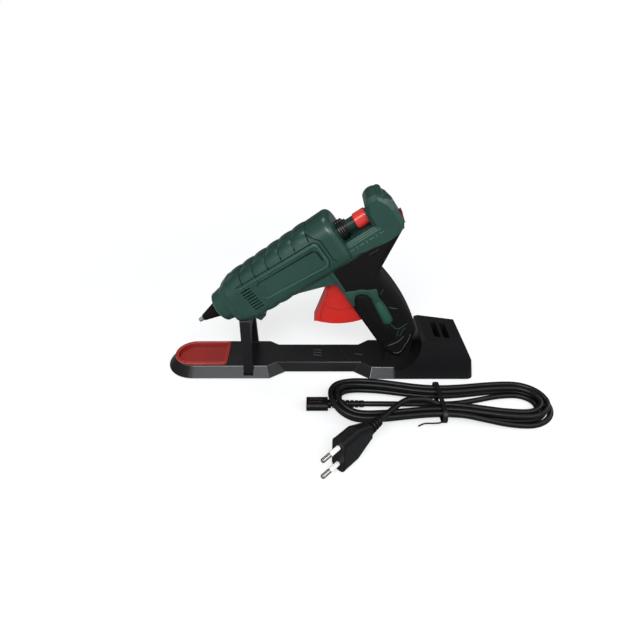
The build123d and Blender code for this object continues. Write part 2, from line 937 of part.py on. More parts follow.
ring_profile = [
    (carriage_start - grip_ring_thick, stick_bore),
    (carriage_start - grip_ring_thick, carriage_radius - 0.3),
    (carriage_start, carriage_radius - 0.3),
    (carriage_start, stick_bore),
]
save(turned(ring_profile), "grip_ring")

spring_start = plate_start + plate_thick + seat_gap
spring_end = carriage_start - grip_ring_thick - seat_gap
spring_mean = carriage_bore + spring_wire
carriage_spring = coil(spring_start, spring_end, spring_mean, spring_wire, spring_turns)
save(carriage_spring, "carriage_spring")

with BuildPart() as feed_adjuster:
    add(
        turned(
            [
                (knob_start, tube_radius + running_gap),
                (knob_start, knob_radius - 0.6),
                (knob_start + 0.6, knob_radius),
                (knob_start + knob_length - 0.4, knob_radius),
                (knob_start + knob_length, knob_radius - 0.4),
                (knob_start + knob_length, tube_radius + running_gap),
            ]
        )
    )
save(feed_adjuster.part, "feed_adjuster")

# Trigger: finger part, arm, hub and fork
low_angle = math.radians(216.3)
back_angle = math.radians(262.0)


def on_reach(angle):
    return pivot_s + trigger_reach * math.cos(angle), pivot_t + trigger_reach * math.sin(angle)


front_tip = on_reach(low_angle)
back_tip = on_reach(back_angle)
neck_point = (handle_front - 14.5, pivot_t - 21)
root_point = (handle_front - 10.0, pivot_t - 8)
with BuildPart() as trigger:
    with BuildSketch(side_plane):
        with BuildLine():
            ThreePointArc(front_tip, on_reach((low_angle + back_angle) / 2), back_tip)
            Polyline(back_tip, (back_tip[0] + 2, pivot_t - 15), root_point, neck_point, front_tip)
        make_face()
    extrude(amount=trigger_width / 2, both=True)
    with BuildSketch(side_plane):
        with BuildLine():
            Polyline(
                front_tip,
                neck_point,
                root_point,
                (root_point[0] + flange_depth, root_point[1]),
                (neck_point[0] + flange_depth, neck_point[1] - 1),
                (front_tip[0] + flange_depth, front_tip[1] - 2.4),
                close=True,
            )
        make_face()
    extrude(amount=flange_width / 2, both=True)
    add(
        slab(
            [
                root_point,
                (pivot_s - hub_radius + 1, pivot_t + 2),
                (pivot_s + 1, pivot_t - hub_radius),
                (back_tip[0] + 2, pivot_t - 15),
            ],
            trigger_width / 2 - 0.5,
        )
    )
    add(pin_across(pivot_s, pivot_t, hub_radius, -fork_outer, fork_outer))
    fork_slot = 2 * (trunnion_radius + slide_gap)
    for side in (-1, 1):
        with BuildSketch(side_axis_plane(pivot_s, 0, side * (fork_outer - fork_thick / 2))):
            with Locations((0, (fork_top_t + pivot_t) / 2)):
                Rectangle(2 * fork_half, fork_top_t - pivot_t)
            with Locations((0, fork_top_t)):
                Rectangle(fork_slot, 2 * (fork_top_t + trunnion_radius + 1), mode=Mode.SUBTRACT)
        extrude(amount=fork_thick / 2, both=True)
    add(pin_across(pivot_s, pivot_t, pin_radius + running_gap, -fork_outer, fork_outer), mode=Mode.SUBTRACT)
save(trigger.part, "trigger")
save(pin_across(pivot_s, pivot_t, pin_radius, seat_gap - pin_end, pin_end - seat_gap), "trigger_pin")

# Electrics: board, switch, rocker and wires
with BuildPart() as control_board:
    board_half = body_width / 2 - grip_skin - wall - slide_gap
    with BuildSketch(cross_plane(board_s, (board_top + board_bottom) / 2)):
        Rectangle(2 * board_half, board_top - board_bottom)
    extrude(amount=board_thick)
    with BuildSketch(cross_plane(board_s, (board_top + board_bottom) / 2 + 6)):
        with GridLocations(10, 14, 2, 2):
            Rectangle(5, 7)
    extrude(amount=-3)
save(control_board.part, "control_board")

with BuildPart() as switch_body:
    with BuildSketch(cross_plane(switch_front + seat_gap, switch_t)):
        Rectangle(switch_width, switch_height)
    extrude(amount=switch_depth - seat_gap)
    with BuildSketch(cross_plane(hook_back - 4, switch_t)):
        Rectangle(switch_width - 3, switch_height - 3)
    extrude(amount=5, mode=Mode.SUBTRACT)
save(switch_body.part, "switch_body")

rocker_s = hook_back - 1.5
with BuildPart() as power_rocker:
    rocker_half = (switch_height - 3) / 2 - slide_gap - 0.2
    with BuildSketch(side_plane):
        with BuildLine():
            Polyline(
                (rocker_s - 1.2, switch_t - rocker_half),
                (rocker_s + rocker_stand + 0.2, switch_t - rocker_half),
                (rocker_s + rocker_stand + 0.9, switch_t),
                (rocker_s + rocker_stand + 2.0, switch_t + rocker_half),
                (rocker_s - 1.2, switch_t + rocker_half),
                close=True,
            )
        make_face()
    extrude(amount=(switch_width - 3) / 2 - slide_gap, both=True)
save(power_rocker.part, "power_rocker")


def wire_run(points, radius):
    with BuildPart() as piece:
        with BuildLine() as path:
            FilletPolyline(*[gun_point(*p) for p in points], radius=4 * radius)
        first = gun_point(*points[0])
        with BuildSketch(Plane(origin=first, z_dir=gun_point(*points[1]) - first)):
            Circle(radius)
        sweep(path=path.wire())
    return piece.part


with BuildPart() as heater_wires:
    for side in (-1, 1):
        high_y = side * side_wire_y
        add(
            wire_run(
                [
                    (board_s + board_thick / 2, board_top + 0.2, high_y),
                    (board_s - 4, pivot_t - 8, high_y),
                    (pivot_s + 4, heater_wire_t, high_y),
                    (plate_start - 3, heater_wire_t, high_y),
                    (clip_start + clip_width, heater_wire_t, side * heater_wire_y),
                    (block_end + 0.2, heater_wire_t, side * heater_wire_y),
                ],
                wire_radius,
            )
        )
save(heater_wires.part, "heater_wires")

with BuildPart() as switch_wires:
    for side in (-1, 1):
        add(
            wire_run(
                [
                    (switch_front, switch_t, side * 3.0),
                    (neck_s - 3, switch_t - 4, side * 3.0),
                    (board_s + board_thick / 2, board_top + 0.2, side * 3.0),
                ],
                wire_radius,
            )
        )
save(switch_wires.part, "switch_wires")

with BuildPart() as inlet_wires:
    inlet_top = butt_bottom_t + inlet_depth + terminal_height + 1
    for side in (-1, 1):
        pin_y = side * inlet_pin_pitch / 2
        add(
            wire_run(
                [
                    (inlet_s, inlet_top + 0.2, pin_y),
                    (inlet_s, inlet_top + 5, pin_y),
                    (board_s + board_thick / 2, board_bottom - 5, pin_y),
                    (board_s + board_thick / 2, board_bottom - 0.2, pin_y),
                ],
                wire_radius,
            )
        )
save(inlet_wires.part, "inlet_wires")

# Stand: nose plate, waist, dock and tower in one moulding
stand_end = stand_length / 2
nose_centre = -stand_end + nose_half
plate_depth = plate_top - foot_height
nose_arc = [(nose_centre, nose_half), (-stand_end, 0), (nose_centre, -nose_half)]
nose_points = [
    (nose_centre, -nose_half),
    (waist_start, -nose_half),
    (waist_start + flare, -waist_half),
    (waist_start + flare, waist_half),
    (waist_start, nose_half),
    (nose_centre, nose_half),
]
waist_points = [
    (waist_start - flare, -waist_half),
    (dock_full, -waist_half),
    (dock_full, waist_half),
    (waist_start - flare, waist_half),
    (waist_start - flare, -waist_half),
]
dock_points = [
    (dock_full - flare, -waist_half),
    (dock_full, -dock_half),
    (tower_back, -dock_half),
    (tower_back, dock_half),
    (dock_full, dock_half),
    (dock_full - flare, waist_half),
    (dock_full - flare, -waist_half),
]


def facet_plate(outline_points, slope, outline_arc=None):
    with BuildPart() as piece:
        with BuildSketch(Plane.XY.offset(foot_height)):
            with BuildLine():
                if outline_arc:
                    ThreePointArc(*outline_arc)
                Polyline(*outline_points)
            make_face()
        extrude(amount=plate_depth, taper=slope)
    return piece.part


def tray_block(grow, low, high):
    # Drip tray outline raised from low to high: round nose, square towards the yoke
    with BuildPart() as piece:
        with BuildSketch(Plane.XY.offset(low)) as outline:
            with BuildLine():
                ThreePointArc(
                    (tray_start + tray_half, -tray_half),
                    (tray_start, 0),
                    (tray_start + tray_half, tray_half),
                )
                Polyline(
                    (tray_start + tray_half, tray_half),
                    (tray_end - tray_slant, tray_half),
                    (tray_end, -tray_half),
                    (tray_start + tray_half, -tray_half),
                )
            make_face()
            fillet(outline.vertices().filter_by(lambda v: v.X > tray_end - tray_slant - 1), tray_corner)
            if grow:
                offset(amount=grow)
        extrude(amount=high - low)
    return piece.part


# Tower: side profile cut to leaning flanks
with BuildPart() as tower:
    with BuildSketch(Plane.XZ):
        with BuildLine():
            Polyline(
                (tower_foot, plate_top),
                (tower_foot - 6, plate_top),
                (tower_foot - 6, foot_height),
                (stand_end, foot_height),
                (stand_end, foot_height + 3),
                (stand_end - 2.5, tower_tail),
                (tower_back, tower_back_top),
                (tower_front + 4, tower_top),
                (tower_front, tower_top - 1.5),
            )
            ThreePointArc(
                (tower_front, tower_top - 1.5),
                (tower_front - 5.5, (tower_top + plate_top) / 2 - 6),
                (tower_foot, plate_top),
            )
        make_face()
    extrude(amount=dock_half + 2, both=True)
    with BuildSketch(Plane.XY.offset(foot_height)):
        with Locations(((stand_end + dock_full) / 2, 0)):
            RectangleRounded(stand_end - dock_full, 2 * dock_half, tower_corner)
    extrude(amount=tower_top + 5, taper=tower_lean, mode=Mode.INTERSECT)

# Way that the handle's butt takes when it is lifted out
butt_heel = gun_point(neck_s - 9.0, cap_line_t - 11)
butt_back = gun_point(neck_s - 1.5, cap_line_t - 4)
butt_front = gun_point(handle_front - 2.0, cap_line_t - 8)
butt_corner = gun_point(handle_front + 7.0, butt_bottom_t)
lift_top = tower_top + 40
with BuildPart() as butt_way:
    with BuildSketch(Plane.XZ):
        with BuildLine():
            Polyline(
                (butt_front.X - dock_gap, lift_top),
                (butt_front.X - dock_gap, butt_front.Z - dock_gap),
                (butt_corner.X, butt_corner.Z - dock_gap),
                (butt_heel.X + dock_gap, butt_heel.Z - dock_gap),
                (butt_back.X + dock_gap, butt_back.Z),
                (butt_back.X + 6 * dock_gap, lift_top),
                close=True,
            )
        make_face()
    extrude(amount=body_width / 2 + dock_gap, both=True)

base_start = waist_start - 45
base_end = tower_back + 5
base_middle = (base_start + base_end) / 2
base_half = waist_half - 7
hollow_half = base_half - 2.5
tower_hollow_top = tower_top - slot_depth - stand_wall
yoke_lean = (yoke_spread - yoke_top_half) / (yoke_arch - 5 - yoke_foot)
with BuildPart() as stand_shell:
    add(facet_plate(nose_points, nose_slope, nose_arc))
    add(facet_plate(waist_points, waist_slope))
    add(facet_plate(dock_points, dock_slope))
    add(tower.part)
    # rib that the butt stands on
    with BuildSketch(Plane.XY.offset(foot_height)):
        with Locations(((seat_start + seat_end) / 2, 0)):
            Rectangle(seat_end - seat_start, 2 * seat_half)
    extrude(amount=seat_height)
    add(butt_way.part, mode=Mode.SUBTRACT)
    add(tray_block(tray_gap, tray_floor, plate_top + 5), mode=Mode.SUBTRACT)
    # notches in the edges, with a ledge under each leg of the yoke
    notch_inner = yoke_spread - yoke_thick - yoke_lean * (plate_top - yoke_foot) - seat_gap
    for side in (-1, 1):
        with BuildSketch(Plane.XY.offset(yoke_foot)):
            with Locations((yoke_x, side * (notch_inner + 10))):
                Rectangle(yoke_width + 2 * seat_gap, 20)
        extrude(amount=plate_top, mode=Mode.SUBTRACT)
    # storage slots in the tower's top
    for place in range(2):
        with BuildSketch(Plane.XY.offset(tower_top - slot_depth)):
            with Locations((slot_x + place * slot_pitch, 0)):
                RectangleRounded(slot_width, slot_length, 1.5)
        extrude(amount=slot_depth + 5, mode=Mode.SUBTRACT)
    # rebate of the base plate and the hollows above it
    with BuildSketch(Plane.XY.offset(foot_height)):
        with Locations((base_middle, 0)):
            Rectangle(base_end - base_start + 2 * seat_gap, 2 * base_half + 2 * seat_gap)
    extrude(amount=base_thick, mode=Mode.SUBTRACT)
    with BuildSketch(Plane.XY.offset(foot_height)):
        with Locations(((base_start + dock_full) / 2, 0)):
            Rectangle(dock_full - base_start - 8, 2 * hollow_half)
    extrude(amount=plate_depth - stand_wall, mode=Mode.SUBTRACT)
    with BuildSketch(Plane.XY.offset(foot_height)):
        with Locations(((tower_front + tower_back) / 2 + 2, 0)):
            Rectangle(tower_back - tower_front - 6, 2 * hollow_half)
    extrude(amount=tower_hollow_top - foot_height, mode=Mode.SUBTRACT)
    # bosses and holes of the base screws
    with BuildSketch(Plane.XY.offset(foot_height + base_thick)):
        with Locations(*base_screw_places[:2]):
            Circle(stand_screw_head + 1.5)
    extrude(amount=plate_depth - base_thick - stand_wall / 2)
    with BuildSketch(Plane.XY.offset(foot_height + base_thick)):
        with Locations(base_screw_places[2]):
            Circle(stand_screw_head + 1.5)
    extrude(amount=tower_hollow_top - foot_height - base_thick + stand_wall / 2)
    with BuildSketch(Plane.XY):
        with Locations(*base_screw_places):
            Circle(stand_screw_radius + running_gap)
    extrude(amount=plate_top - stand_wall, mode=Mode.SUBTRACT)
print("stand", round(stand_shell.part.volume), stand_shell.part.is_valid, len(stand_shell.part.solids()))
save(stand_shell.part, "stand_shell")

with BuildPart() as base_plate:
    with BuildSketch(Plane.XY.offset(foot_height)):
        with Locations((base_middle, 0)):
            Rectangle(base_end - base_start, 2 * base_half)
        with Locations(*base_screw_places):
            Circle(stand_screw_radius + running_gap, mode=Mode.SUBTRACT)
    extrude(amount=base_thick)
    with BuildSketch(Plane.XY.offset(foot_height)):
        with Locations(*base_screw_places):
            Circle(stand_screw_head + seat_gap)
    extrude(amount=stand_head_height, mode=Mode.SUBTRACT)
save(base_plate.part, "base_plate")

with BuildPart() as base_screws:
    with BuildSketch(Plane.XY.offset(foot_height)):
        with Locations(*base_screw_places):
            Circle(stand_screw_head)
    extrude(amount=stand_head_height)
    with BuildSketch(Plane.XY.offset(foot_height + stand_head_height)):
        with Locations(*base_screw_places):
            Circle(stand_screw_radius)
    extrude(amount=plate_top - stand_wall - foot_height - stand_head_height - seat_gap)
save(base_screws.part, "base_screws")

with BuildPart() as rubber_feet:
    with BuildSketch(Plane.XY):
        with Locations((nose_foot_x, 0)):
            Circle(foot_radius)
        for side in (-1, 1):
            with Locations((plate_foot_x, side * plate_foot_y)):
                Circle(foot_radius)
            with Locations((dock_foot_x, side * dock_foot_y), (tower_foot_x, side * dock_foot_y)):
                Circle(foot_radius)
    extrude(amount=foot_height)
save(rubber_feet.part, "rubber_feet")

with BuildPart() as drip_tray:
    add(tray_block(0, tray_floor, plate_top + seat_gap))
    add(tray_block(tray_rim, plate_top + seat_gap, plate_top + tray_rim))
    add(tray_block(-tray_wall, tray_floor + tray_wall, plate_top + 5), mode=Mode.SUBTRACT)
save(drip_tray.part, "drip_tray")

# Yoke: two legs that lean together, joined under the barrel by a saddle
with BuildPart() as support_yoke:
    with BuildSketch(Plane.YZ.offset(yoke_x - yoke_width / 2)):
        with BuildLine():
            Polyline(
                (yoke_spread - yoke_thick, yoke_foot),
                (yoke_spread, yoke_foot),
                (yoke_top_half, yoke_top),
                (-yoke_top_half, yoke_top),
                (-yoke_spread, yoke_foot),
                (yoke_thick - yoke_spread, yoke_foot),
                (yoke_thick - yoke_top_half, yoke_arch - 5),
                (yoke_thick - yoke_top_half + 5, yoke_arch),
                (yoke_top_half - yoke_thick - 5, yoke_arch),
                (yoke_top_half - yoke_thick, yoke_arch - 5),
                close=True,
            )
        make_face()
    extrude(amount=yoke_width)
    add(barrel_solid(-dock_gap, barrel_mouth - dock_gap, barrel_full), mode=Mode.SUBTRACT)
    add(barrel_solid(-dock_gap, barrel_full, barrel_end), mode=Mode.SUBTRACT)
    with BuildSketch(cross_plane(collar_start)):
        Circle(collar_back_radius + dock_gap)
    extrude(amount=barrel_mouth - collar_start, mode=Mode.SUBTRACT)
print("yoke", support_yoke.part.is_valid, len(support_yoke.part.solids()))
save(support_yoke.part, "support_yoke")

# Mains lead: route of the cord. It leaves the connector, runs down the middle of the hank,
# winds outwards in the lower layer, climbs, winds inwards in the upper layer and crosses to
# the plug
cord_step = 2 * cord_radius + cord_gap
layer_step = 2 * cord_radius + layer_gap
cord_low = cord_radius + floor_gap
hank_middle = Vector(hank_middle_x, hank_middle_y, cord_low)


def hank_station(count, turn, layer):
    # Place and heading of the cord at one of the eight stations of a round, which starts at
    # the near right lobe and goes by way of the left tip
    inward = turn * cord_step
    lobe = lobe_half - inward
    waist = waist_cord_half - inward
    tip = hank_half - inward
    places = [
        (lobe_x, -lobe, 0),
        (0, -waist, waist_lift),
        (-lobe_x, -lobe, lobe_lift),
        (-tip, 0, left_lift),
        (-lobe_x, lobe, lobe_lift),
        (0, waist, waist_lift),
        (lobe_x, lobe, 0),
        (tip, 0, 0),
    ]
    headings = 3 * [(-1, 0, 0)] + [(0, 1, 0)] + 3 * [(1, 0, 0)] + [(0, -1, 0)]
    place = hank_middle + Vector(*places[count % 8]) + Vector(0, 0, layer * layer_step)
    return place, Vector(*headings[count % 8])


ahead = Vector(1, 0, 0)
lead_run = 2 * cord_radius
relief_end = connector_x + connector_length + relief_length
cord_start = Vector(relief_end, hank_middle_y, connector_height / 2)
plug_turn = math.radians(plug_heading)
plug_dir = Vector(math.cos(plug_turn), math.sin(plug_turn), 0)
cord_end = Vector(plug_tail_x, plug_tail_y, plug_height / 2)
stops = [
    (cord_start + ahead * lead_run, ahead),
    (hank_middle + Vector(0, 0, waist_lift), ahead),
]
outward = 8 * hank_rounds
for count in range(-2, outward + 1):
    stops.append(hank_station(count, hank_rounds - count / 8, 0))
for count in range(outward + 1, 2 * outward + 2):
    stops.append(hank_station(count, (count - outward - 1) / 8, 1))
last_place = stops[-1][0]
crossing = Vector(last_place.X - crossing_run, last_place.Y, cord_end.Z)
stops.append((crossing, -ahead))
stops.append((cord_end - plug_dir * lead_run, plug_dir))

cord_radii = []
with BuildPart() as hank:
    with BuildLine() as cord_path:
        Line(cord_start, stops[0][0])
        for (place, heading), (next_place, next_heading) in zip(stops, stops[1:]):
            straight = next_place - place
            if abs(straight.normalized().dot(heading) - 1) < 1e-9:
                Line(place, next_place)
            else:
                for p, q, tangent in biarc(place, heading, next_place, next_heading):
                    bend = TangentArc(p, q, tangent=tangent)
                    cord_radii.append(bend.radius)
        Line(stops[-1][0], cord_end)
    with BuildSketch(Plane(origin=cord_start, z_dir=ahead)):
        Circle(cord_radius)
    sweep(path=cord_path.wire())
cord_length = cord_path.wire().length
sample_count = round(cord_length / 1.5)
cord_points = [cord_path.wire().position_at(i / sample_count) for i in range(sample_count + 1)]
print("cord length", round(cord_length))
print("cord bend radii from", round(min(cord_radii), 1), "to", round(max(cord_radii)))
print("cord least gap to itself", round(least_gap(cord_points, cord_radius, 14), 2))
save(hank.part, "hank")

# Connector with its bend relief, and the two contacts in it
connector_plane = Plane(
    origin=(connector_x, hank_middle_y, connector_height / 2), x_dir=(0, -1, 0), z_dir=(1, 0, 0)
)
with BuildPart() as connector:
    with BuildSketch(connector_plane):
        SlotOverall(connector_width, connector_height - floor_gap)
    extrude(amount=connector_length)
    with BuildSketch(connector_plane.offset(connector_length)):
        Circle(relief_radius + 0.6)
    with BuildSketch(connector_plane.offset(connector_length + relief_length)):
        Circle(relief_radius - 0.4)
    loft()
    for rib in range(relief_ribs):
        rib_at = connector_length + 3 + rib * (relief_length - 4) / relief_ribs
        with BuildSketch(connector_plane.offset(rib_at)):
            Circle(relief_radius + 3)
            Circle(relief_radius - 0.9, mode=Mode.SUBTRACT)
        extrude(amount=1.4, mode=Mode.SUBTRACT)
    with BuildSketch(connector_plane):
        with GridLocations(inlet_pin_pitch, 0, 2, 1):
            Circle(contact_radius + running_gap)
    extrude(amount=contact_depth, mode=Mode.SUBTRACT)
print("connector", connector.part.is_valid, len(connector.part.solids()))
save(connector.part, "connector")

with BuildPart() as connector_contacts:
    with BuildSketch(connector_plane.offset(2)):
        with GridLocations(inlet_pin_pitch, 0, 2, 1):
            Circle(contact_radius)
            Circle(inlet_pin_radius + running_gap, mode=Mode.SUBTRACT)
    extrude(amount=contact_depth - 2)
save(connector_contacts.part, "connector_contacts")

# Twist tie round the waist of the hank
tie_half = waist_cord_half + cord_radius + tie_gap
tie_low = cord_low + waist_lift - cord_radius - tie_gap
tie_high = cord_low + waist_lift + layer_step + cord_radius + tie_gap
tie_span = 2 * tie_half + tie_high - tie_low - 8
with BuildPart() as hank_tie:
    with BuildSketch(Plane.YZ.offset(hank_middle_x - tie_width / 2)):
        with Locations((hank_middle_y, (tie_low + tie_high) / 2)):
            SlotOverall(tie_span + 2 * tie_thick, tie_high - tie_low + 2 * tie_thick)
            SlotOverall(tie_span, tie_high - tie_low, mode=Mode.SUBTRACT)
    extrude(amount=tie_width)
save(hank_tie.part, "hank_tie")

# Plug standing on its narrow edge, with two pins and their sleeves
plug_plane = Plane(origin=cord_end, x_dir=(0, 0, 1), z_dir=plug_dir)
with BuildPart() as plug:
    with BuildSketch(plug_plane):
        Circle(plug_tail_radius)
    with BuildSketch(plug_plane.offset(plug_tail_length)):
        Circle(plug_tail_radius + 1.4)
    loft()
    with BuildSketch(plug_plane.offset(plug_tail_length)):
        RectangleRounded(plug_height * 0.5, plug_thick * 0.9, plug_thick * 0.42)
    with BuildSketch(plug_plane.offset(plug_tail_length + plug_length * 0.5)):
        RectangleRounded(plug_height - 2 * floor_gap, plug_thick, plug_thick * 0.42)
    loft()
    with BuildSketch(plug_plane.offset(plug_tail_length + plug_length * 0.5)):
        RectangleRounded(plug_height - 2 * floor_gap, plug_thick, plug_thick * 0.42)
    extrude(amount=plug_length * 0.5)
    for rib in range(3):
        with BuildSketch(plug_plane.offset(3 + rib * 4)):
            Circle(plug_tail_radius + 4)
            Circle(plug_tail_radius - 0.8, mode=Mode.SUBTRACT)
        extrude(amount=1.6, mode=Mode.SUBTRACT)
    with BuildSketch(plug_plane.offset(plug_tail_length + plug_length)):
        with GridLocations(prong_pitch, 0, 2, 1):
            Circle(prong_radius - prong_neck + running_gap)
    extrude(amount=-prong_root, mode=Mode.SUBTRACT)
print("plug", plug.part.is_valid, len(plug.part.solids()))
save(plug.part, "plug")

prong_plane = plug_plane.offset(plug_tail_length + plug_length)
with BuildPart() as plug_pins:
    with BuildSketch(prong_plane.offset(seat_gap - prong_root)):
        with GridLocations(prong_pitch, 0, 2, 1):
            Circle(prong_radius - prong_neck)
    extrude(amount=prong_root + sleeve_length)
    with BuildSketch(prong_plane.offset(sleeve_length + seat_gap)):
        with GridLocations(prong_pitch, 0, 2, 1):
            Circle(prong_radius)
    extrude(amount=prong_length - sleeve_length - seat_gap)
    chamfer(plug_pins.faces().sort_by(Axis(cord_end, plug_dir))[-2:].edges(), 0.6)
save(plug_pins.part, "plug_pins")

with BuildPart() as pin_sleeves:
    with BuildSketch(prong_plane.offset(seat_gap)):
        with GridLocations(prong_pitch, 0, 2, 1):
            Circle(prong_radius)
            Circle(prong_radius - prong_neck + running_gap, mode=Mode.SUBTRACT)
    extrude(amount=sleeve_length - seat_gap)
save(pin_sleeves.part, "pin_sleeves")
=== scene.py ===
import math

import bmesh
import bpy
from mathutils import Matrix, Vector
from mathutils.bvhtree import BVHTree


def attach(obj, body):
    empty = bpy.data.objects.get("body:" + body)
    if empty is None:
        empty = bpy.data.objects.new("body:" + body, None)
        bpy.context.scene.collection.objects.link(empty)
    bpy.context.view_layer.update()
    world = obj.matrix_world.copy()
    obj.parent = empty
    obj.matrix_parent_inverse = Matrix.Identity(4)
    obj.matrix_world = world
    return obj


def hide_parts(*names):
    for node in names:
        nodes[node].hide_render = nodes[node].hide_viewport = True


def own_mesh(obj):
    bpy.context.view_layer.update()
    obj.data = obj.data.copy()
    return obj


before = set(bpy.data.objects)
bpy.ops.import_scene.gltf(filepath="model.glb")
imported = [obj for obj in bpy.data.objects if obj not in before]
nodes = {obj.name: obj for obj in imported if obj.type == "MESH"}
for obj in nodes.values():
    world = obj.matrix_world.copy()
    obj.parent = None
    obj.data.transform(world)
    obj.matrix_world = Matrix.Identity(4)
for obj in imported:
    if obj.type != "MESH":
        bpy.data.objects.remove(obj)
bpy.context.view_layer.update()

mm = 0.001
scene = bpy.context.scene
print("frame loaded:", len(nodes), "nodes")


def newObject(name, data):
    thing = bpy.data.objects.new(name, data)
    scene.collection.objects.link(thing)
    return thing


# The gun's slanted frame in mm: s runs back along the bore from the tip, t is square to it
gunSettings = {"tip": (-120.5, 0, 52.3), "pitch": 34.2}
gunPitch = math.radians(gunSettings["pitch"])
alongGun = Vector((math.cos(gunPitch), 0, math.sin(gunPitch)))
upGun = Vector((-math.sin(gunPitch), 0, math.cos(gunPitch)))
gunTip = Vector(gunSettings["tip"]) * mm


def gunPoint(s, t, y=0):
    return gunTip + (alongGun * s + upGun * t + Vector((0, y, 0))) * mm


# Camera, set as the photograph was taken
cameraSettings = {
    "place": (2.2, -386, 303),  # mm
    "tilt": 57,  # degrees from straight down
    "lens": 25.3125,
    "nearest": 0.01,
}


def makeCamera(view):
    data = bpy.data.cameras.new("photoCamera")
    data.lens = view["lens"]
    data.clip_start = view["nearest"]
    camera = newObject("photoCamera", data)
    camera.location = Vector(view["place"]) * mm
    camera.rotation_euler = (math.radians(view["tilt"]), 0, 0)
    scene.camera = camera


makeCamera(cameraSettings)
print("camera placed")

# Mains lead: one smooth spline from the connector's relief through the hank to the plug
leadSettings = {
    "radius": 2.6,
    "middle": (115, -72, 2.75),
    "reliefEnd": (43.5, -72, 4.5),
    "entryRun": [(0, 0, 0), (6, 0, 0), (18, 0, -0.1)],  # from the relief's end
    "innerRun": [(-20, 0, 1.4), (0, 0, 1.4), (16, 0.9, 1.1), (38, 6.2, 0.6), (58, 12, 0.1)],  # from middle
    "step": 6,  # between turns
    "layer": 6.3,  # between layers
    "half": 105,
    "lobeX": 74,
    "lobeHalf": 27,
    "waistHalf": 18.6,
    "lifts": [0, 1.4, 3, 9.2, 3, 1.4, 0, 0],  # at the eight stations of a round, over the lead's first run
    "rounds": 2,
    "pointsPerRound": 32,
    "liftOff": (-7, 0, 0.7),  # from the last turn
    "crossing": [(-14.26, 0, -1.2), (-25.3, -0.8, 0)],  # the same, but up from the plug's height
    "plugTail": (53, -107, 17.65),
    "plugHeading": 226,
    "plugRun": [(34, 4, 2.5), (18, 0.4, 0.6), (6, 0, 0), (0, 0, 0)],  # back from the plug, with a shift
    "length": 2.14,
    "pieces": ["plug", "plug_pins", "pin_sleeves", "connector", "connector_contacts", "hank_tie"],
}


def smoothStep(share):
    return 0.5 - 0.5 * math.cos(math.pi * share)


def hankPoint(phase, turn, height):
    # phase counts the stations, from the near right lobe by way of the left tip
    lead = leadSettings
    inward = turn * lead["step"]
    lobe = lead["lobeHalf"] - inward
    waist = lead["waistHalf"] - inward
    reach = lead["half"] - inward - lead["lobeX"]
    lifts = lead["lifts"]
    station = int(phase) % 8
    share = phase - int(phase)
    lift = lifts[station] + (lifts[(station + 1) % 8] - lifts[station]) * smoothStep(share)
    quarter = station % 4
    if quarter < 2:
        fromWaist = share if quarter else 1 - share
        x = lead["lobeX"] * (-fromWaist if quarter else fromWaist)
        y = -(waist + (lobe - waist) * smoothStep(fromWaist))
    else:
        turned = math.pi / 2 * (share + quarter - 2)
        x = -lead["lobeX"] - reach * math.sin(turned)
        y = -lobe * math.cos(turned)
    way = 1 if station < 4 else -1  # the far side repeats the near side, turned by half a turn
    return Vector(lead["middle"]) + Vector((way * x, way * y, lift + height))


def leadRoute():
    lead = leadSettings
    points = [Vector(lead["reliefEnd"]) + Vector(shift) for shift in lead["entryRun"]]
    points += [Vector(lead["middle"]) + Vector(shift) for shift in lead["innerRun"]]
    steps = lead["pointsPerRound"] // 8
    whole = 8 * lead["rounds"] * steps
    for index in range(-2 * steps, whole + 1):  # lower layer, from the inside out
        phase = index / steps
        points.append(hankPoint(phase + 8, lead["rounds"] - phase / 8, 0))
    for index in range(1, steps):  # up to the next layer
        share = index / steps
        points.append(hankPoint(share, 0, lead["layer"] * smoothStep(share)))
    for index in range(whole + 1):  # upper layer, from the outside in
        phase = index / steps
        points.append(hankPoint(phase + 1, phase / 8, lead["layer"]))
    last = points[-1]
    tail = Vector(lead["plugTail"])
    heading = math.radians(lead["plugHeading"])
    towards = Vector((math.cos(heading), math.sin(heading), 0))
    points.append(last + Vector(lead["liftOff"]))
    points += [Vector((last.x + x, last.y + y, tail.z + z)) for x, y, z in lead["crossing"]]
    points += [tail - towards * back + Vector((x, y, 0)) for back, x, y in lead["plugRun"]]
    return [point * mm for point in points]


def makeLead(material):
    curve = bpy.data.curves.new("mainsLead", "CURVE")
    curve.dimensions = "3D"
    curve.resolution_u = 5
    curve.bevel_depth = leadSettings["radius"] * mm
    curve.bevel_resolution = 4
    curve.use_fill_caps = True
    route = leadRoute()
    spline = curve.splines.new("NURBS")
    spline.points.add(len(route) - 1)
    for slot, place in zip(spline.points, route):
        slot.co = (*place, 1)
    spline.order_u = 3
    spline.use_endpoint_u = True
    lead = newObject("mainsLead", curve)
    curve.materials.append(material)
    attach(lead, "stand")
    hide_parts("hank")


# Node trees: every shader below is put together with these
def nodeTree(owner):
    owner.use_nodes = True
    tree = owner.node_tree
    tree.nodes.clear()
    return tree


def addNode(tree, kind, inputs=None, **settings):
    # An input is a value, another node's output, or a node whose first output is meant
    node = tree.nodes.new(kind)
    for label, value in settings.items():
        setattr(node, label, value)
    for label, value in (inputs or {}).items():
        if isinstance(value, bpy.types.Node):
            value = value.outputs[0]
        if isinstance(value, bpy.types.NodeSocket):
            tree.links.new(value, node.inputs[label])
        else:
            node.inputs[label].default_value = value
    return node


def multiply(tree, first, second):
    return addNode(tree, "ShaderNodeMath", {0: first, 1: second}, operation="MULTIPLY")


def mapRange(tree, value, fromLow, fromHigh, toLow, toHigh):
    limits = {"Value": value, "From Min": fromLow, "From Max": fromHigh, "To Min": toLow, "To Max": toHigh}
    return addNode(tree, "ShaderNodeMapRange", limits)


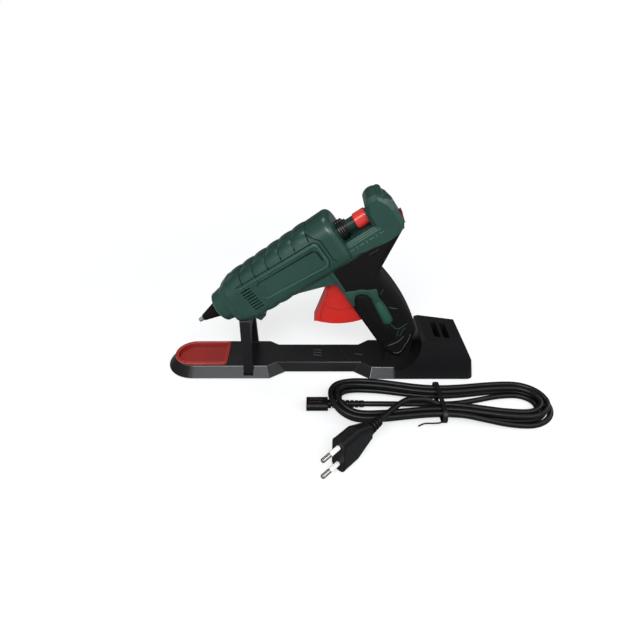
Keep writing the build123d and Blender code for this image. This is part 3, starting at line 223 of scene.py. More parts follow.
# Floor and soft studio light
stageSettings = {
    "floor": 0.86,
    "glow": 1.1,
    "white": (0.5, 1),  # its share in the floor that the camera sees, near and far
    "fade": (0.3, 0.85),  # metres from the middle, from near to far
    "mirrored": (0.26, 0.27, 0.29),  # the floor as glossy pieces reflect it
    "world": (0.7, 0.06),  # strength in front and behind
    "worldFade": (-0.5, 0.5),
    "size": 12,
    "drop": 0.0002,  # just under the feet
    "lampColour": (0.95, 0.975, 1),
    "lampAim": (0.02, -0.02, 0.06),
    "lamps": {
        "keyLamp": {"place": (-0.12, -0.85, 0.88), "wide": 0.95, "deep": 0.4, "power": 12.5},
        "fillLamp": {"place": (0.7, -0.4, 0.8), "wide": 0.6, "deep": 0.6, "power": 3},
        "rimLamp": {"place": (1, 0.45, 0.55), "wide": 0.6, "deep": 0.6, "power": 2.5},
        "backLamp": {"place": (-0.4, 0.75, 1.25), "wide": 0.7, "deep": 0.5, "power": 5},
    },
}


def makeFloor(stage):
    side = stage["size"]
    corners = [(-side, -side), (side, -side), (side, side), (-side, side)]
    mesh = bpy.data.meshes.new("floor")
    mesh.from_pydata([(x, y, -stage["drop"]) for x, y in corners], [], [(0, 1, 2, 3)])
    newObject("floor", mesh)
    material = bpy.data.materials.new("paleFloor")
    mesh.materials.append(material)
    tree = nodeTree(material)
    path = addNode(tree, "ShaderNodeLightPath").outputs
    spot = addNode(tree, "ShaderNodeNewGeometry").outputs["Position"]
    away = addNode(tree, "ShaderNodeVectorMath", {0: spot}, operation="LENGTH").outputs["Value"]
    fade = mapRange(tree, away, *stage["fade"], *stage["white"])
    share = multiply(tree, path["Is Camera Ray"], fade)
    matte = addNode(tree, "ShaderNodeBsdfDiffuse", {"Color": (*[stage["floor"]] * 3, 1)})
    glow = addNode(tree, "ShaderNodeEmission", {"Color": (1, 1, 1, 1), "Strength": stage["glow"]})
    dim = addNode(tree, "ShaderNodeEmission", {"Color": (*stage["mirrored"], 1)})
    lit = addNode(tree, "ShaderNodeMixShader", {0: share, 1: matte, 2: glow})
    seen = addNode(tree, "ShaderNodeMixShader", {0: path["Is Glossy Ray"], 1: lit, 2: dim})
    addNode(tree, "ShaderNodeOutputMaterial", {"Surface": seen})


def makeWorld(stage):
    # Bright in front of the object and dim behind it, and plain white to the camera
    scene.world = bpy.data.worlds.new("studio")
    tree = nodeTree(scene.world)
    path = addNode(tree, "ShaderNodeLightPath").outputs
    heading = addNode(tree, "ShaderNodeTexCoord").outputs["Generated"]
    split = addNode(tree, "ShaderNodeSeparateXYZ", {0: heading}).outputs
    slope = mapRange(tree, split["Y"], *stage["worldFade"], *stage["world"])
    plain = addNode(tree, "ShaderNodeBackground", {"Strength": slope})
    bright = addNode(tree, "ShaderNodeBackground", {"Color": (1, 1, 1, 1)})
    mix = addNode(tree, "ShaderNodeMixShader", {0: path["Is Camera Ray"], 1: plain, 2: bright})
    addNode(tree, "ShaderNodeOutputWorld", {"Surface": mix})


def makeLamps(stage):
    for name, lamp in stage["lamps"].items():
        data = bpy.data.lights.new(name, "AREA")
        data.shape = "RECTANGLE"
        data.size = lamp["wide"]
        data.size_y = lamp["deep"]
        data.color = stage["lampColour"]
        data.energy = lamp["power"]
        light = newObject(name, data)
        light.location = lamp["place"]
        ray = Vector(stage["lampAim"]) - light.location
        light.rotation_euler = ray.to_track_quat("-Z", "Y").to_euler()


scene.view_settings.view_transform = "Standard"
makeFloor(stageSettings)
makeWorld(stageSettings)
makeLamps(stageSettings)
print("stage and lamps ready")


# Shader node groups that more than one finish uses
def newGroup(name, inputs, outputs):
    group = bpy.data.node_groups.new(name, "ShaderNodeTree")
    for label, value in inputs.items():
        socket = group.interface.new_socket(label, in_out="INPUT", socket_type="NodeSocketFloat")
        socket.default_value = value
    for label in outputs:
        group.interface.new_socket(label, in_out="OUTPUT", socket_type="NodeSocketFloat")
    spot = addNode(group, "ShaderNodeTexCoord").outputs["Object"]
    return group, spot, addNode(group, "NodeGroupInput").outputs


def noise(tree, spot, scale, detail):
    return addNode(tree, "ShaderNodeTexNoise", {"Vector": spot, "Scale": scale, "Detail": detail})


def mouldGrainGroup():
    # Fine spark texture of moulded plastic, with slow drifts of tone and gloss
    sizes = {"Grain size": 900, "Drift size": 18, "Depth": 0.5}
    group, spot, source = newGroup("mouldGrain", sizes, ["Tone", "Gloss", "Height"])
    fine = noise(group, spot, source["Grain size"], 3)
    slow = noise(group, spot, source["Drift size"], 4)
    height = multiply(group, fine, source["Depth"])
    addNode(group, "NodeGroupOutput", {"Tone": slow, "Gloss": fine, "Height": height})
    return group


def handlingMarksGroup():
    # Hair scratches and a little dust, as on a handled tool
    sizes = {"Scratch size": 60, "Amount": 0.5}
    group, spot, source = newGroup("handlingMarks", sizes, ["Scratches", "Dust"])
    turn = {"Vector": spot, "Rotation": (0.4, 0.9, 0.5), "Scale": (1, 14, 14)}
    drawn = addNode(group, "ShaderNodeMapping", turn)
    lines = noise(group, drawn, source["Scratch size"], 2)
    specks = noise(group, spot, 420, 2)
    masks = {}
    for label, pattern, low, high in (("Scratches", lines, 0.66, 0.74), ("Dust", specks, 0.7, 0.8)):
        masks[label] = multiply(group, mapRange(group, pattern, low, high, 0, 1), source["Amount"])
    addNode(group, "NodeGroupOutput", masks)
    return group


def turnedLinesGroup():
    # Fine lathe or draw lines, square to the bore
    group, spot, source = newGroup("turnedLines", {"Line size": 2600}, ["Lines", "Blotch"])
    turn = {"Vector": spot, "Rotation": (0, gunPitch, 0), "Scale": (1, 0.04, 0.04)}
    drawn = addNode(group, "ShaderNodeMapping", turn)
    lines = noise(group, drawn, source["Line size"], 3)
    blotch = noise(group, spot, 140, 2)
    addNode(group, "NodeGroupOutput", {"Lines": lines, "Blotch": blotch})
    return group


mouldGrain = mouldGrainGroup()
handlingMarks = handlingMarksGroup()
turnedLines = turnedLinesGroup()


def linear(colour):
    # Colours are written as 0 to 255 screen values
    shares = [value / 255 for value in colour]
    return (*[c / 12.92 if c <= 0.04045 else ((c + 0.055) / 1.055) ** 2.4 for c in shares], 1)


finishSettings = {
    "noise": (0.25, 0.75),  # where nearly all of a noise lies
    "dust": (150, 150, 146),
    "scuff": 0.3,  # roughness that a scratch adds
    "coatRough": 0.12,
    "grainDepth": 0.0004,
    "lineDepth": 0.0003,
}


def noiseRange(tree, pattern, low, high):
    return mapRange(tree, pattern, *finishSettings["noise"], low, high)


def mixColours(tree, share, first, second):
    colours = {"Factor": share, "A": first, "B": second}
    return addNode(tree, "ShaderNodeMix", colours, data_type="RGBA").outputs["Result"]


def baseColour(tree, pattern, style):
    return mixColours(tree, noiseRange(tree, pattern, 0, 1), linear(style["dark"]), linear(style["light"]))


def addBump(tree, height, style, depth):
    values = {"Height": height, "Strength": style["bump"], "Distance": finishSettings[depth]}
    return addNode(tree, "ShaderNodeBump", values)


def mouldedFinish(tree, style):
    sizes = {"Grain size": style["grain"], "Drift size": style["drift"]}
    grain = addNode(tree, "ShaderNodeGroup", sizes, node_tree=mouldGrain).outputs
    marks = addNode(tree, "ShaderNodeGroup", {"Amount": style["marks"]}, node_tree=handlingMarks).outputs
    base = baseColour(tree, grain["Tone"], style)
    gloss = noiseRange(tree, grain["Gloss"], *style["rough"])
    scuffed = multiply(tree, marks["Scratches"], finishSettings["scuff"])
    return {
        "Base Color": mixColours(tree, marks["Dust"], base, linear(finishSettings["dust"])),
        "Roughness": addNode(tree, "ShaderNodeMath", {0: gloss, 1: scuffed}, operation="ADD"),
        "Normal": addBump(tree, grain["Height"], style, "grainDepth"),
        "Specular IOR Level": style["specular"],
        "Coat Weight": style["coat"],
        "Coat Roughness": finishSettings["coatRough"],
    }


def metalFinish(tree, style):
    lines = addNode(tree, "ShaderNodeGroup", {"Line size": style["lines"]}, node_tree=turnedLines).outputs
    return {
        "Base Color": baseColour(tree, lines["Blotch"], style),
        "Roughness": noiseRange(tree, lines["Lines"], *style["rough"]),
        "Normal": addBump(tree, lines["Lines"], style, "lineDepth"),
        "Metallic": 1,
    }


usualLook = {
    "grain": 900, "drift": 18, "lines": 2600, "marks": 0.35, "bump": 0.12, "specular": 0.5, "coat": 0,
}


def look(dark, light, rough, **more):
    return {**usualLook, "dark": dark, "light": light, "rough": rough, **more}


mouldedLooks = {
    "shellGreen": look((24, 54, 46), (33, 66, 57), (0.27, 0.38), bump=0.06, specular=0.48, marks=0.08),
    "gripBlack": look(
        (11, 9, 8), (17, 14, 13), (0.55, 0.7), grain=1300, bump=0.25, specular=0.15, marks=0.05
    ),
    "gripPad": look((8, 7, 7), (13, 12, 12), (0.42, 0.55), bump=0.2, specular=0.2, marks=0.05),
    "triggerRed": look((180, 30, 25), (196, 40, 33), (0.3, 0.4), bump=0.06, specular=0.3, marks=0.1),
    "knobRed": look((190, 36, 30), (212, 52, 42), (0.18, 0.28), coat=0.5, bump=0.05),
    "trayRed": look((122, 25, 23), (140, 35, 31), (0.22, 0.26), bump=0.01, marks=0.03),
    "rockerRed": look((88, 20, 20), (112, 28, 26), (0.25, 0.35)),
    "standBlack": look((17, 17, 18), (24, 24, 25), (0.26, 0.36), marks=0.03, bump=0.02, specular=0.19),
    "yokeBlack": look((18, 17, 19), (26, 24, 26), (0.38, 0.5), specular=0.22, marks=0.1),
    "bootBlack": look((8, 8, 8), (13, 12, 12), (0.5, 0.62), bump=0.2, specular=0.16, marks=0.08),
    "partBlack": look((11, 11, 11), (17, 17, 17), (0.3, 0.42), specular=0.35, marks=0.1),
    "cordBlack": look((9, 9, 9), (14, 14, 13), (0.3, 0.42), bump=0.06, specular=0.24, marks=0.05),
    "plugBlack": look((10, 10, 9), (15, 15, 14), (0.36, 0.48), bump=0.08, specular=0.18, marks=0.05),
    "sleeveWhite": look((222, 222, 218), (238, 238, 234), (0.35, 0.45), marks=0.1),
    "footRubber": look((30, 30, 30), (42, 42, 42), (0.7, 0.85), bump=0.3),
    "ceramicWhite": look((206, 200, 186), (226, 222, 210), (0.5, 0.65)),
    "insulatorTan": look((146, 120, 84), (176, 148, 108), (0.6, 0.75), grain=500, bump=0.3),
    "siliconeRed": look((160, 70, 48), (190, 92, 66), (0.45, 0.55)),
    "boardGreen": look((14, 74, 40), (30, 104, 58), (0.25, 0.4), drift=260),
    "wireSleeve": look((196, 190, 174), (220, 214, 200), (0.4, 0.5)),
    "accentPale": look((62, 92, 82), (80, 110, 99), (0.35, 0.45), marks=0.1),
    "markGrey": look((26, 26, 28), (34, 34, 36), (0.3, 0.4), marks=0.1, bump=0.02),
    # The next three are lighter than the stand, tray and yoke they edge: a painted highlight on the edge
    # beads
    "standEdge": look((46, 46, 49), (62, 62, 66), (0.15, 0.25), marks=0.1, bump=0.02),
    "trayEdge": look((160, 48, 43), (176, 58, 51), (0.24, 0.28), marks=0.03, bump=0.01),
    "yokeEdge": look((52, 50, 54), (66, 64, 68), (0.25, 0.35), marks=0.1),
    "tubeGreen": look((14, 34, 28), (20, 44, 36), (0.28, 0.4), specular=0.35, marks=0.1),
    "collarBlack": look((8, 8, 8), (13, 13, 13), (0.12, 0.22), marks=0.05, bump=0.03),
    # Lighter than the grip: a painted highlight along the grip's lip
    "lipBlack": look((36, 33, 32), (48, 45, 44), (0.4, 0.5), marks=0.05),
    # Pale grey on the black cap: a painted highlight along the butt cap's rim
    "rimGrey": look((84, 88, 84), (104, 108, 104), (0.4, 0.5), marks=0.1),
    # Dark joints between parts, and painted shade in the panel's and swells' grooves
    "accentDark": look((7, 20, 16), (11, 27, 22), (0.5, 0.6), specular=0.15, marks=0.05),
    # Lighter than the shell: a painted highlight on the panel's ridges and the collar's rims
    "ridgeGreen": look((40, 80, 68), (52, 94, 82), (0.28, 0.4), specular=0.4, marks=0.05),
    "accentGreen": look((26, 72, 58), (36, 86, 70), (0.32, 0.42), specular=0.4, marks=0.1),
    # A dark seam on the trigger, and painted shade at the step behind its flange
    "seamRed": look((112, 20, 18), (134, 26, 22), (0.4, 0.5), marks=0.05),
}
metalLooks = {
    "tipSteel": look((204, 204, 200), (232, 232, 228), (0.34, 0.48), bump=0.08),
    "plainSteel": look((142, 142, 142), (176, 176, 176), (0.28, 0.42), bump=0.08),
    "castAluminium": look((158, 160, 164), (188, 190, 192), (0.4, 0.55), lines=500, bump=0.2),
    "contactBrass": look((182, 142, 74), (208, 170, 98), (0.22, 0.34), bump=0.08),
    "prongNickel": look((172, 166, 154), (206, 200, 190), (0.14, 0.24), bump=0.08),
}
finishes = {}
for makeFinish, looks in ((mouldedFinish, mouldedLooks), (metalFinish, metalLooks)):
    for name, style in looks.items():
        finishes[name] = bpy.data.materials.new(name)
        tree = nodeTree(finishes[name])
        shader = addNode(tree, "ShaderNodeBsdfPrincipled", makeFinish(tree, style))
        addNode(tree, "ShaderNodeOutputMaterial", {"Surface": shader})
print("finishes ready:", len(finishes))

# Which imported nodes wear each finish
finishNodes = {
    "shellGreen": ["right_shell", "left_shell", "front_collar"],
    "gripBlack": ["right_grip", "left_grip", "butt_cap"],
    "partBlack": ["inlet_body", "sleeve_plate", "feed_carriage", "switch_body", "hank_tie"],
    "plainSteel": [
        "shell_screws", "valve_ball", "valve_spring", "sleeve_clip", "grip_ring", "carriage_spring",
        "trigger_pin", "base_screws",
    ],
    "tipSteel": ["nozzle", "thermal_fuse"],
    "contactBrass": ["inlet_pins", "connector_contacts"],
    "castAluminium": ["melt_chamber", "heater_wedge"],
    "prongNickel": ["plug_pins"],
    "bootBlack": ["nozzle_boot"],
    "ceramicWhite": ["heaters"],
    "insulatorTan": ["front_ring", "rear_ring"],
    "siliconeRed": ["inlet_sleeve"],
    "tubeGreen": ["guide_tube"],
    "knobRed": ["feed_adjuster"],
    "triggerRed": ["trigger"],
    "boardGreen": ["control_board"],
    "rockerRed": ["power_rocker"],
    "wireSleeve": ["heater_wires", "switch_wires", "inlet_wires"],
    "standBlack": ["stand_shell", "base_plate"],
    "footRubber": ["rubber_feet"],
    "trayRed": ["drip_tray"],
    "yokeBlack": ["support_yoke"],
    "plugBlack": ["connector", "plug"],
    "sleeveWhite": ["pin_sleeves"],
    "cordBlack": ["hank"],
}
for finish, names in finishNodes.items():
    for name in names:
        nodes[name].data.materials.clear()
        nodes[name].data.materials.append(finishes[finish])
makeLead(finishes["cordBlack"])
print("lead laid")

# Surfaces of the gun that its trim sits on, as half widths in mm at a place (s, t)
barrelSettings = {
    "centre": -1.5, "start": 52, "end": 170.6,
    "width": (45, 48.5), "height": (46, 49.5), "corner": (14, 15.75),  # at the start and the end
}
handleSettings = {"half": 17.5, "front": 146, "rear": 178, "round": 6}


def barrelSize(s):
    barrel = barrelSettings
    share = (s - barrel["start"]) / (barrel["end"] - barrel["start"])
    return [low + (high - low) * share for low, high in (barrel["width"], barrel["height"], barrel["corner"])]


def barrelSide(s, t):
    width, height, corner = barrelSize(s)
    past = abs(t - barrelSettings["centre"]) - (height / 2 - corner)
    if past <= 0:
        return width / 2
    return width / 2 - corner + math.sqrt(corner**2 - min(past, corner) ** 2)


def handleSide(s, t):
    handle = handleSettings
    past = min(max(handle["front"] - s, s - handle["rear"], 0), handle["round"])
    return handle["half"] - handle["round"] + math.sqrt(handle["round"] ** 2 - past**2)


def joined(parts):
    verts, faces = [], []
    for partVerts, partFaces in parts:
        shift = len(verts)
        verts += partVerts
        faces += [tuple(corner + shift for corner in face) for face in partFaces]
    return verts, faces


def searchTree(things):
    parts = []
    for thing in things:
        verts = [thing.matrix_world @ vert.co for vert in thing.data.vertices]
        parts.append((verts, [face.vertices for face in thing.data.polygons]))
    return BVHTree.FromPolygons(*joined(parts))


def nodeSide(*names, start=-80):
    # Half width where a line along Y first meets the named nodes
    tree = searchTree([nodes[name] for name in names])

    def side(s, t):
        spot = tree.ray_cast(gunPoint(s, t, start), Vector((0, 1, 0)))[0]
        return abs(spot.y) / mm if spot else 0

    return side


# How pieces are made: meshes, tubes, low plates and rows
def outwardMesh(name, verts, faces):
    mesh = bpy.data.meshes.new(name)
    mesh.from_pydata(verts, [], faces)
    work = bmesh.new()
    work.from_mesh(mesh)
    bmesh.ops.remove_doubles(work, verts=work.verts, dist=1e-7)
    bmesh.ops.recalc_face_normals(work, faces=work.faces)
    work.to_mesh(mesh)
    work.free()
    return mesh


def finishPiece(name, mesh, body, sharp=40):
    for face in mesh.polygons:
        face.use_smooth = True
    mesh.set_sharp_from_angle(angle=math.radians(sharp))
    piece = newObject(name, mesh)
    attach(piece, body)
    return piece


def makePiece(name, verts, faces, finish, body="gun", slot="shell_green"):
    mesh = outwardMesh(name, verts, faces)
    mesh.materials.append(finishes[finish])
    return finishPiece(name, mesh, body)


def ringFaces(first, second, count):
    return [(first + k, first + (k + 1) % count, second + (k + 1) % count, second + k) for k in range(count)]


def tube(points, radius, sides=8):
    # Closed tube through points in metres; the ring turns as little as it can along the way
    verts, faces = [], []
    across = None
    for index, point in enumerate(points):
        before = points[max(index - 1, 0)]
        after = points[min(index + 1, len(points) - 1)]
        along = (after - before).normalized()
        if across is None:
            across = along.orthogonal().normalized()
        across = (across - along * across.dot(along)).normalized()
        other = along.cross(across)
        for corner in range(sides):
            turned = 2 * math.pi * corner / sides
            verts.append(point + (across * math.cos(turned) + other * math.sin(turned)) * radius)
    for index in range(len(points) - 1):
        faces += ringFaces(index * sides, (index + 1) * sides, sides)
    faces.append(tuple(range(sides)))
    faces.append(tuple(range(len(verts) - sides, len(verts))))
    return verts, faces


def dense(line, step=2.5):
    points = [line[0]]
    for (s0, t0), (s1, t1) in zip(line, line[1:]):
        count = max(1, math.ceil(math.hypot(s1 - s0, t1 - t0) / step))
        points += [(s0 + (s1 - s0) * k / count, t0 + (t1 - t0) * k / count) for k in range(1, count + 1)]
    return points


def softCorners(line, reach, closed=False, apart=2.1):
    # Each corner is replaced by a short curve that starts and ends within reach of it
    count = len(line)
    points = []
    for index, corner in enumerate(line):
        if not closed and index in (0, count - 1):
            points.append(corner)
            continue
        corner = Vector(corner)
        before, after = Vector(line[index - 1]), Vector(line[(index + 1) % count])
        first = corner + (before - corner).normalized() * min(reach, (before - corner).length / apart)
        last = corner + (after - corner).normalized() * min(reach, (after - corner).length / apart)
        for share in (0, 0.33, 0.67, 1):
            rest = 1 - share
            points.append(tuple(first * rest**2 + corner * 2 * share * rest + last * share**2))
    return points


def surfaceLines(trim):
    # Fine raised or sunk lines on both sides of the gun
    surface, lift = trim["on"], trim["lift"]
    parts = []
    for line in trim["lines"]:
        if "soft" in trim:
            line = softCorners(line, trim["soft"])
        for side in (-1, 1):
            spots = [gunPoint(s, t, side * (surface(s, t) + lift)) for s, t in dense(line)]
            parts.append(tube(spots, trim["radius"] * mm))
    return joined(parts)


def insetOutline(outline, amount):
    area = sum(a[0] * b[1] - b[0] * a[1] for a, b in zip(outline, outline[1:] + outline[:1]))
    turn = 1 if area > 0 else -1
    inset = []
    for index, corner in enumerate(outline):
        corner = Vector(corner)
        arriving = (corner - Vector(outline[index - 1])).normalized()
        leaving = (Vector(outline[(index + 1) % len(outline)]) - corner).normalized()
        inward = (arriving + leaving).orthogonal().normalized()
        inset.append(tuple(corner + inward * turn * amount))
    return inset


plateSettings = {"bevel": 0.35, "drop": 0.21, "sink": 0.6}


def plates(trim):
    # Low plates with bevelled rims on both sides of the gun
    trim = {**plateSettings, **trim}
    surface, lift = trim["on"], trim["lift"]
    parts = []
    for reach, corners in zip(trim["soft"], trim["outlines"]):
        outline = softCorners(corners, reach, True)
        top = insetOutline(outline, trim["bevel"])
        levels = [(outline, -trim["sink"]), (outline, lift - trim["drop"]), (top, lift)]
        count = len(outline)
        for side in (-1, 1):
            verts = []
            for line, level in levels:
                verts += [gunPoint(s, t, side * (surface(s, t) + level)) for s, t in line]
            faces = [tuple(range(count)), tuple(range(2 * count, 3 * count))]
            faces += ringFaces(0, count, count) + ringFaces(count, 2 * count, count)
            parts.append((verts, faces))
    return joined(parts)


def makeTrim(trim, body="gun"):
    for name, settings in trim.items():
        shape = plates(settings) if "outlines" in settings else surfaceLines(settings)
        makePiece(name, *shape, settings["finish"], body, settings.get("slot", "shell_green"))


def rowTree():
    tree = bpy.data.node_groups.new("rowAlong", "GeometryNodeTree")
    sockets = {"Piece": "Object", "Count": "Int", "Start": "Vector", "Step": "Vector"}
    sockets.update({"Scale growth": "Float", "Finish": "Material"})
    for label, kind in sockets.items():
        tree.interface.new_socket(label, in_out="INPUT", socket_type="NodeSocket" + kind)
    tree.interface.new_socket("Geometry", in_out="OUTPUT", socket_type="NodeSocketGeometry")
    source = addNode(tree, "NodeGroupInput").outputs
    run = {"Count": source["Count"], "Start Location": source["Start"], "Offset": source["Step"]}
    line = addNode(tree, "GeometryNodeMeshLine", run)
    pattern = addNode(tree, "GeometryNodeObjectInfo", {"Object": source["Piece"]}).outputs["Geometry"]
    index = addNode(tree, "GeometryNodeInputIndex")
    growth = {0: index, 1: source["Scale growth"], 2: 1}
    grown = addNode(tree, "ShaderNodeMath", growth, operation="MULTIPLY_ADD")
    placed = {"Points": line, "Instance": pattern, "Scale": grown}
    copies = addNode(tree, "GeometryNodeInstanceOnPoints", placed)
    real = addNode(tree, "GeometryNodeRealizeInstances", {0: copies})
    dressed = addNode(tree, "GeometryNodeSetMaterial", {"Geometry": real, "Material": source["Finish"]})
    addNode(tree, "NodeGroupOutput", {"Geometry": dressed})
    return tree


rowAlong = rowTree()
rowSockets = {item.name: item.identifier for item in rowAlong.interface.items_tree if item.in_out == "INPUT"}


def makeRow(name, shape, count, start, step, finish, growth=0.0, body="gun", slot="shell_green"):
    # A shape worked out round its own middle, repeated along a straight row
    pattern = newObject(name + "Pattern", outwardMesh(name + "Pattern", *shape))
    host = newObject(name + "Row", bpy.data.meshes.new(name + "Row"))
    modifier = host.modifiers.new("row", "NODES")
    modifier.node_group = rowAlong
    values = {"Piece": pattern, "Count": count, "Start": start, "Step": step}
    values.update({"Scale growth": growth, "Finish": finishes[finish]})
    for label, value in values.items():
        modifier[rowSockets[label]] = value
    whole = bpy.data.meshes.new_from_object(host.evaluated_get(bpy.context.evaluated_depsgraph_get()))
    host.modifiers.remove(modifier)
    bpy.data.objects.remove(host)
    bpy.data.objects.remove(pattern)
    return finishPiece(name, whole, body)


def block(wide, deep, high, axes):
    # A small block with its upper edges drawn in, along three axes
    verts = []
    for level, draw in ((-0.5, 0), (0.2, 0), (0.5, 0.25)):
        drawn = draw * min(wide, deep)
        for x, y in ((-0.5, -0.5), (0.5, -0.5), (0.5, 0.5), (-0.5, 0.5)):
            across = axes[0] * (x * wide - math.copysign(drawn, x))
            along = axes[1] * (y * deep - math.copysign(drawn, y))
            verts.append((across + along + axes[2] * level * high) * mm)
    return verts, [(0, 1, 2, 3), (8, 9, 10, 11)] + ringFaces(0, 4, 4) + ringFaces(4, 8, 4)


# Low swells of the barrel between its grooves, over the top and under the belly
swellSettings = {
    "first": 64.1,
    "pitch": 15,
    "half": 7,
    "height": 0.9,
    "sunk": 0.05,  # of the rim, under the barrel's face
    "depth": 0.5,
    "steps": 8,  # round each corner, and along the swell
    "fadeSteps": 3,  # at each end, where the swell runs out
    "fullness": 0.7,
    "rows": {"top": {"from": 16, "count": 6, "up": 1}, "belly": {"from": -17.5, "count": 4, "up": -1}},
    "groove": {"arc": (61, 30), "steps": 12, "radius": 0.45, "sink": 0.15},  # degrees from straight up
}


def swell(row):
    swells = swellSettings
    steps, ends = swells["steps"], swells["fadeSteps"]
    width, height, corner = barrelSize(swells["first"])
    low = abs(row["from"] - barrelSettings["centre"])
    begin = math.acos((low - (height / 2 - corner)) / corner)
    spots = []
    for index in range(steps + 1):
        turned = begin * (1 - index / steps)
        across = width / 2 - corner + corner * math.sin(turned)
        spots.append((across, height / 2 - corner + corner * math.cos(turned), turned))
    spots += [(-y, t, -turned) for y, t, turned in reversed(spots)]
    wide = len(spots)
    verts = []
    for raised in (True, False):
        for line in range(steps + 1):
            share = 2 * line / steps - 1
            rise = math.cos(math.pi / 2 * share) ** swells["fullness"] if 0 < line < steps else 0
            for index, (y, t, turned) in enumerate(spots):
                fade = min(1, index / ends, (wide - 1 - index) / ends)
                lift = swells["height"] * rise * fade - swells["sunk"] if raised else -swells["depth"]
                out = Vector((math.sin(turned), math.cos(turned))) * lift
                place = alongGun * (swells["half"] * share) + upGun * row["up"] * (t + out.y)
                verts.append((place + Vector((0, y + out.x, 0))) * mm)
    layer = wide * (steps + 1)
    faces = []
    for line in range(steps):
        for here in range(line * wide, line * wide + wide - 1):
            under = here + layer
            faces.append((here, here + 1, here + wide + 1, here + wide))
            faces.append((under, under + wide, under + wide + 1, under + 1))
    border = list(range(wide))
    border += [line * wide + wide - 1 for line in range(1, steps + 1)]
    border += [steps * wide + index for index in range(wide - 2, -1, -1)]
    border += [line * wide for line in range(steps - 1, 0, -1)]
    for here, there in zip(border, border[1:] + border[:1]):
        faces.append((here, there, there + layer, here + layer))
    return verts, faces


def makeSwells(swells):
    first, pitch = swells["first"], swells["pitch"]
    growth = barrelSize(first + pitch)[0] / barrelSize(first)[0] - 1
    start = gunPoint(first, barrelSettings["centre"])
    for label, row in swells["rows"].items():
        step = alongGun * pitch * mm
        makeRow(label + "Swells", swell(row), row["count"], start, step, "shellGreen", growth)


makeSwells(swellSettings)
print("barrel swells made")

# Parting line of the two shells, over the top and under the belly of the barrel
partingSettings = {
    "topSwells": (58, 168, 60),  # from, to, and how far away the search starts
    "bellySwells": (66, 122, -60),
    "radius": 0.3,
    "aside": 0.3,  # of the search, so that it meets one shell
    "count": 120,
}


def partingLine(swellsName):
    first, last, away = partingSettings[swellsName]
    count = partingSettings["count"]
    tree = searchTree([bpy.data.objects[swellsName], nodes["right_shell"], nodes["left_shell"]])
    spots = []
    for index in range(count + 1):
        s = first + (last - first) * index / count
        spot = tree.ray_cast(gunPoint(s, away, partingSettings["aside"]), upGun * math.copysign(1, -away))[0]
        if spot:
            spots.append(Vector((spot.x, 0, spot.z)))
    return tube(spots, partingSettings["radius"] * mm, 6)


makePiece("partingLine", *joined([partingLine("topSwells"), partingLine("bellySwells")]), "accentDark")

# Frame lines round the bare side panel: dark lines of painted shade where its grooves are, a raised border,
# and lighter ridges as painted highlight
panelTrim = {
    "panelGrooves": {
        "on": barrelSide, "radius": 0.5, "lift": -0.22, "soft": 1.5, "finish": "accentDark",
        "lines": [
            [(63.6, 14.8), (149.5, 12.7), (152.8, 9.1), (152.6, -9.5), (149, -14.4)],
            [(147.6, 20.4), (149.4, 17.6), (155.8, 11.2), (156.1, 9.6), (155.9, -10.3), (158.2, -13.2)],
        ],
    },
    "panelBorder": {
        "on": barrelSide, "lift": 0.45, "sink": 0.9, "soft": [1.2], "finish": "shellGreen",
        "outlines": [[
            (66, 14), (149.1, 12), (152, 8.8), (151.8, -9.4), (148.2, -13.8), (81, -9.8),
            (79.6, -5), (81, -4.8), (82.2, -8), (146.8, -11.6), (149.2, -8.8), (149.4, 6.4),
            (147, 8.9), (82.5, 10.7), (68, 10.9),
        ]],
    },
    "panelInner": {
        "on": barrelSide, "radius": 0.55, "lift": -0.3, "soft": 1.5, "finish": "accentDark",
        "lines": [[(83, 5.6), (84.2, 8), (145.4, 6.4), (147.6, 4.2), (147.4, -6)]],
    },
    # Painted highlight: lighter green lines along the tops of the border's ridges
    "panelRidges": {
        "on": barrelSide, "radius": 0.5, "lift": 0.2, "soft": 1.5, "finish": "ridgeGreen",
        "lines": [
            [(67, 12.5), (148.6, 10.5), (150.7, 7.9), (150.5, -9), (147.6, -12.6)],
            [(147, -12.6), (82, -8.9)],
        ],
    },
}
makeTrim(panelTrim)


# Painted shade: dark lines where the grooves between the swells run, round the barrel's upper corners
def cornerArc(s, side, groove):
    width, height, corner = barrelSize(s)
    first, last = groove["arc"]
    radius = corner - groove["sink"]
    spots = []
    for index in range(groove["steps"] + 1):
        turned = math.radians(first + (last - first) * index / groove["steps"])
        up = barrelSettings["centre"] + height / 2 - corner + radius * math.cos(turned)
        spots.append(gunPoint(s, up, side * (width / 2 - corner + radius * math.sin(turned))))
    return spots


def swellGrooves(swells):
    groove = swells["groove"]
    parts = []
    for index in range(swells["rows"]["top"]["count"]):
        s = swells["first"] + swells["pitch"] * (index + 0.5)
        for side in (-1, 1):
            parts.append(tube(cornerArc(s, side, groove), groove["radius"] * mm, 6))
    return joined(parts)


makePiece("swellGrooves", *swellGrooves(swellSettings), "accentDark")
print("panel lines made")
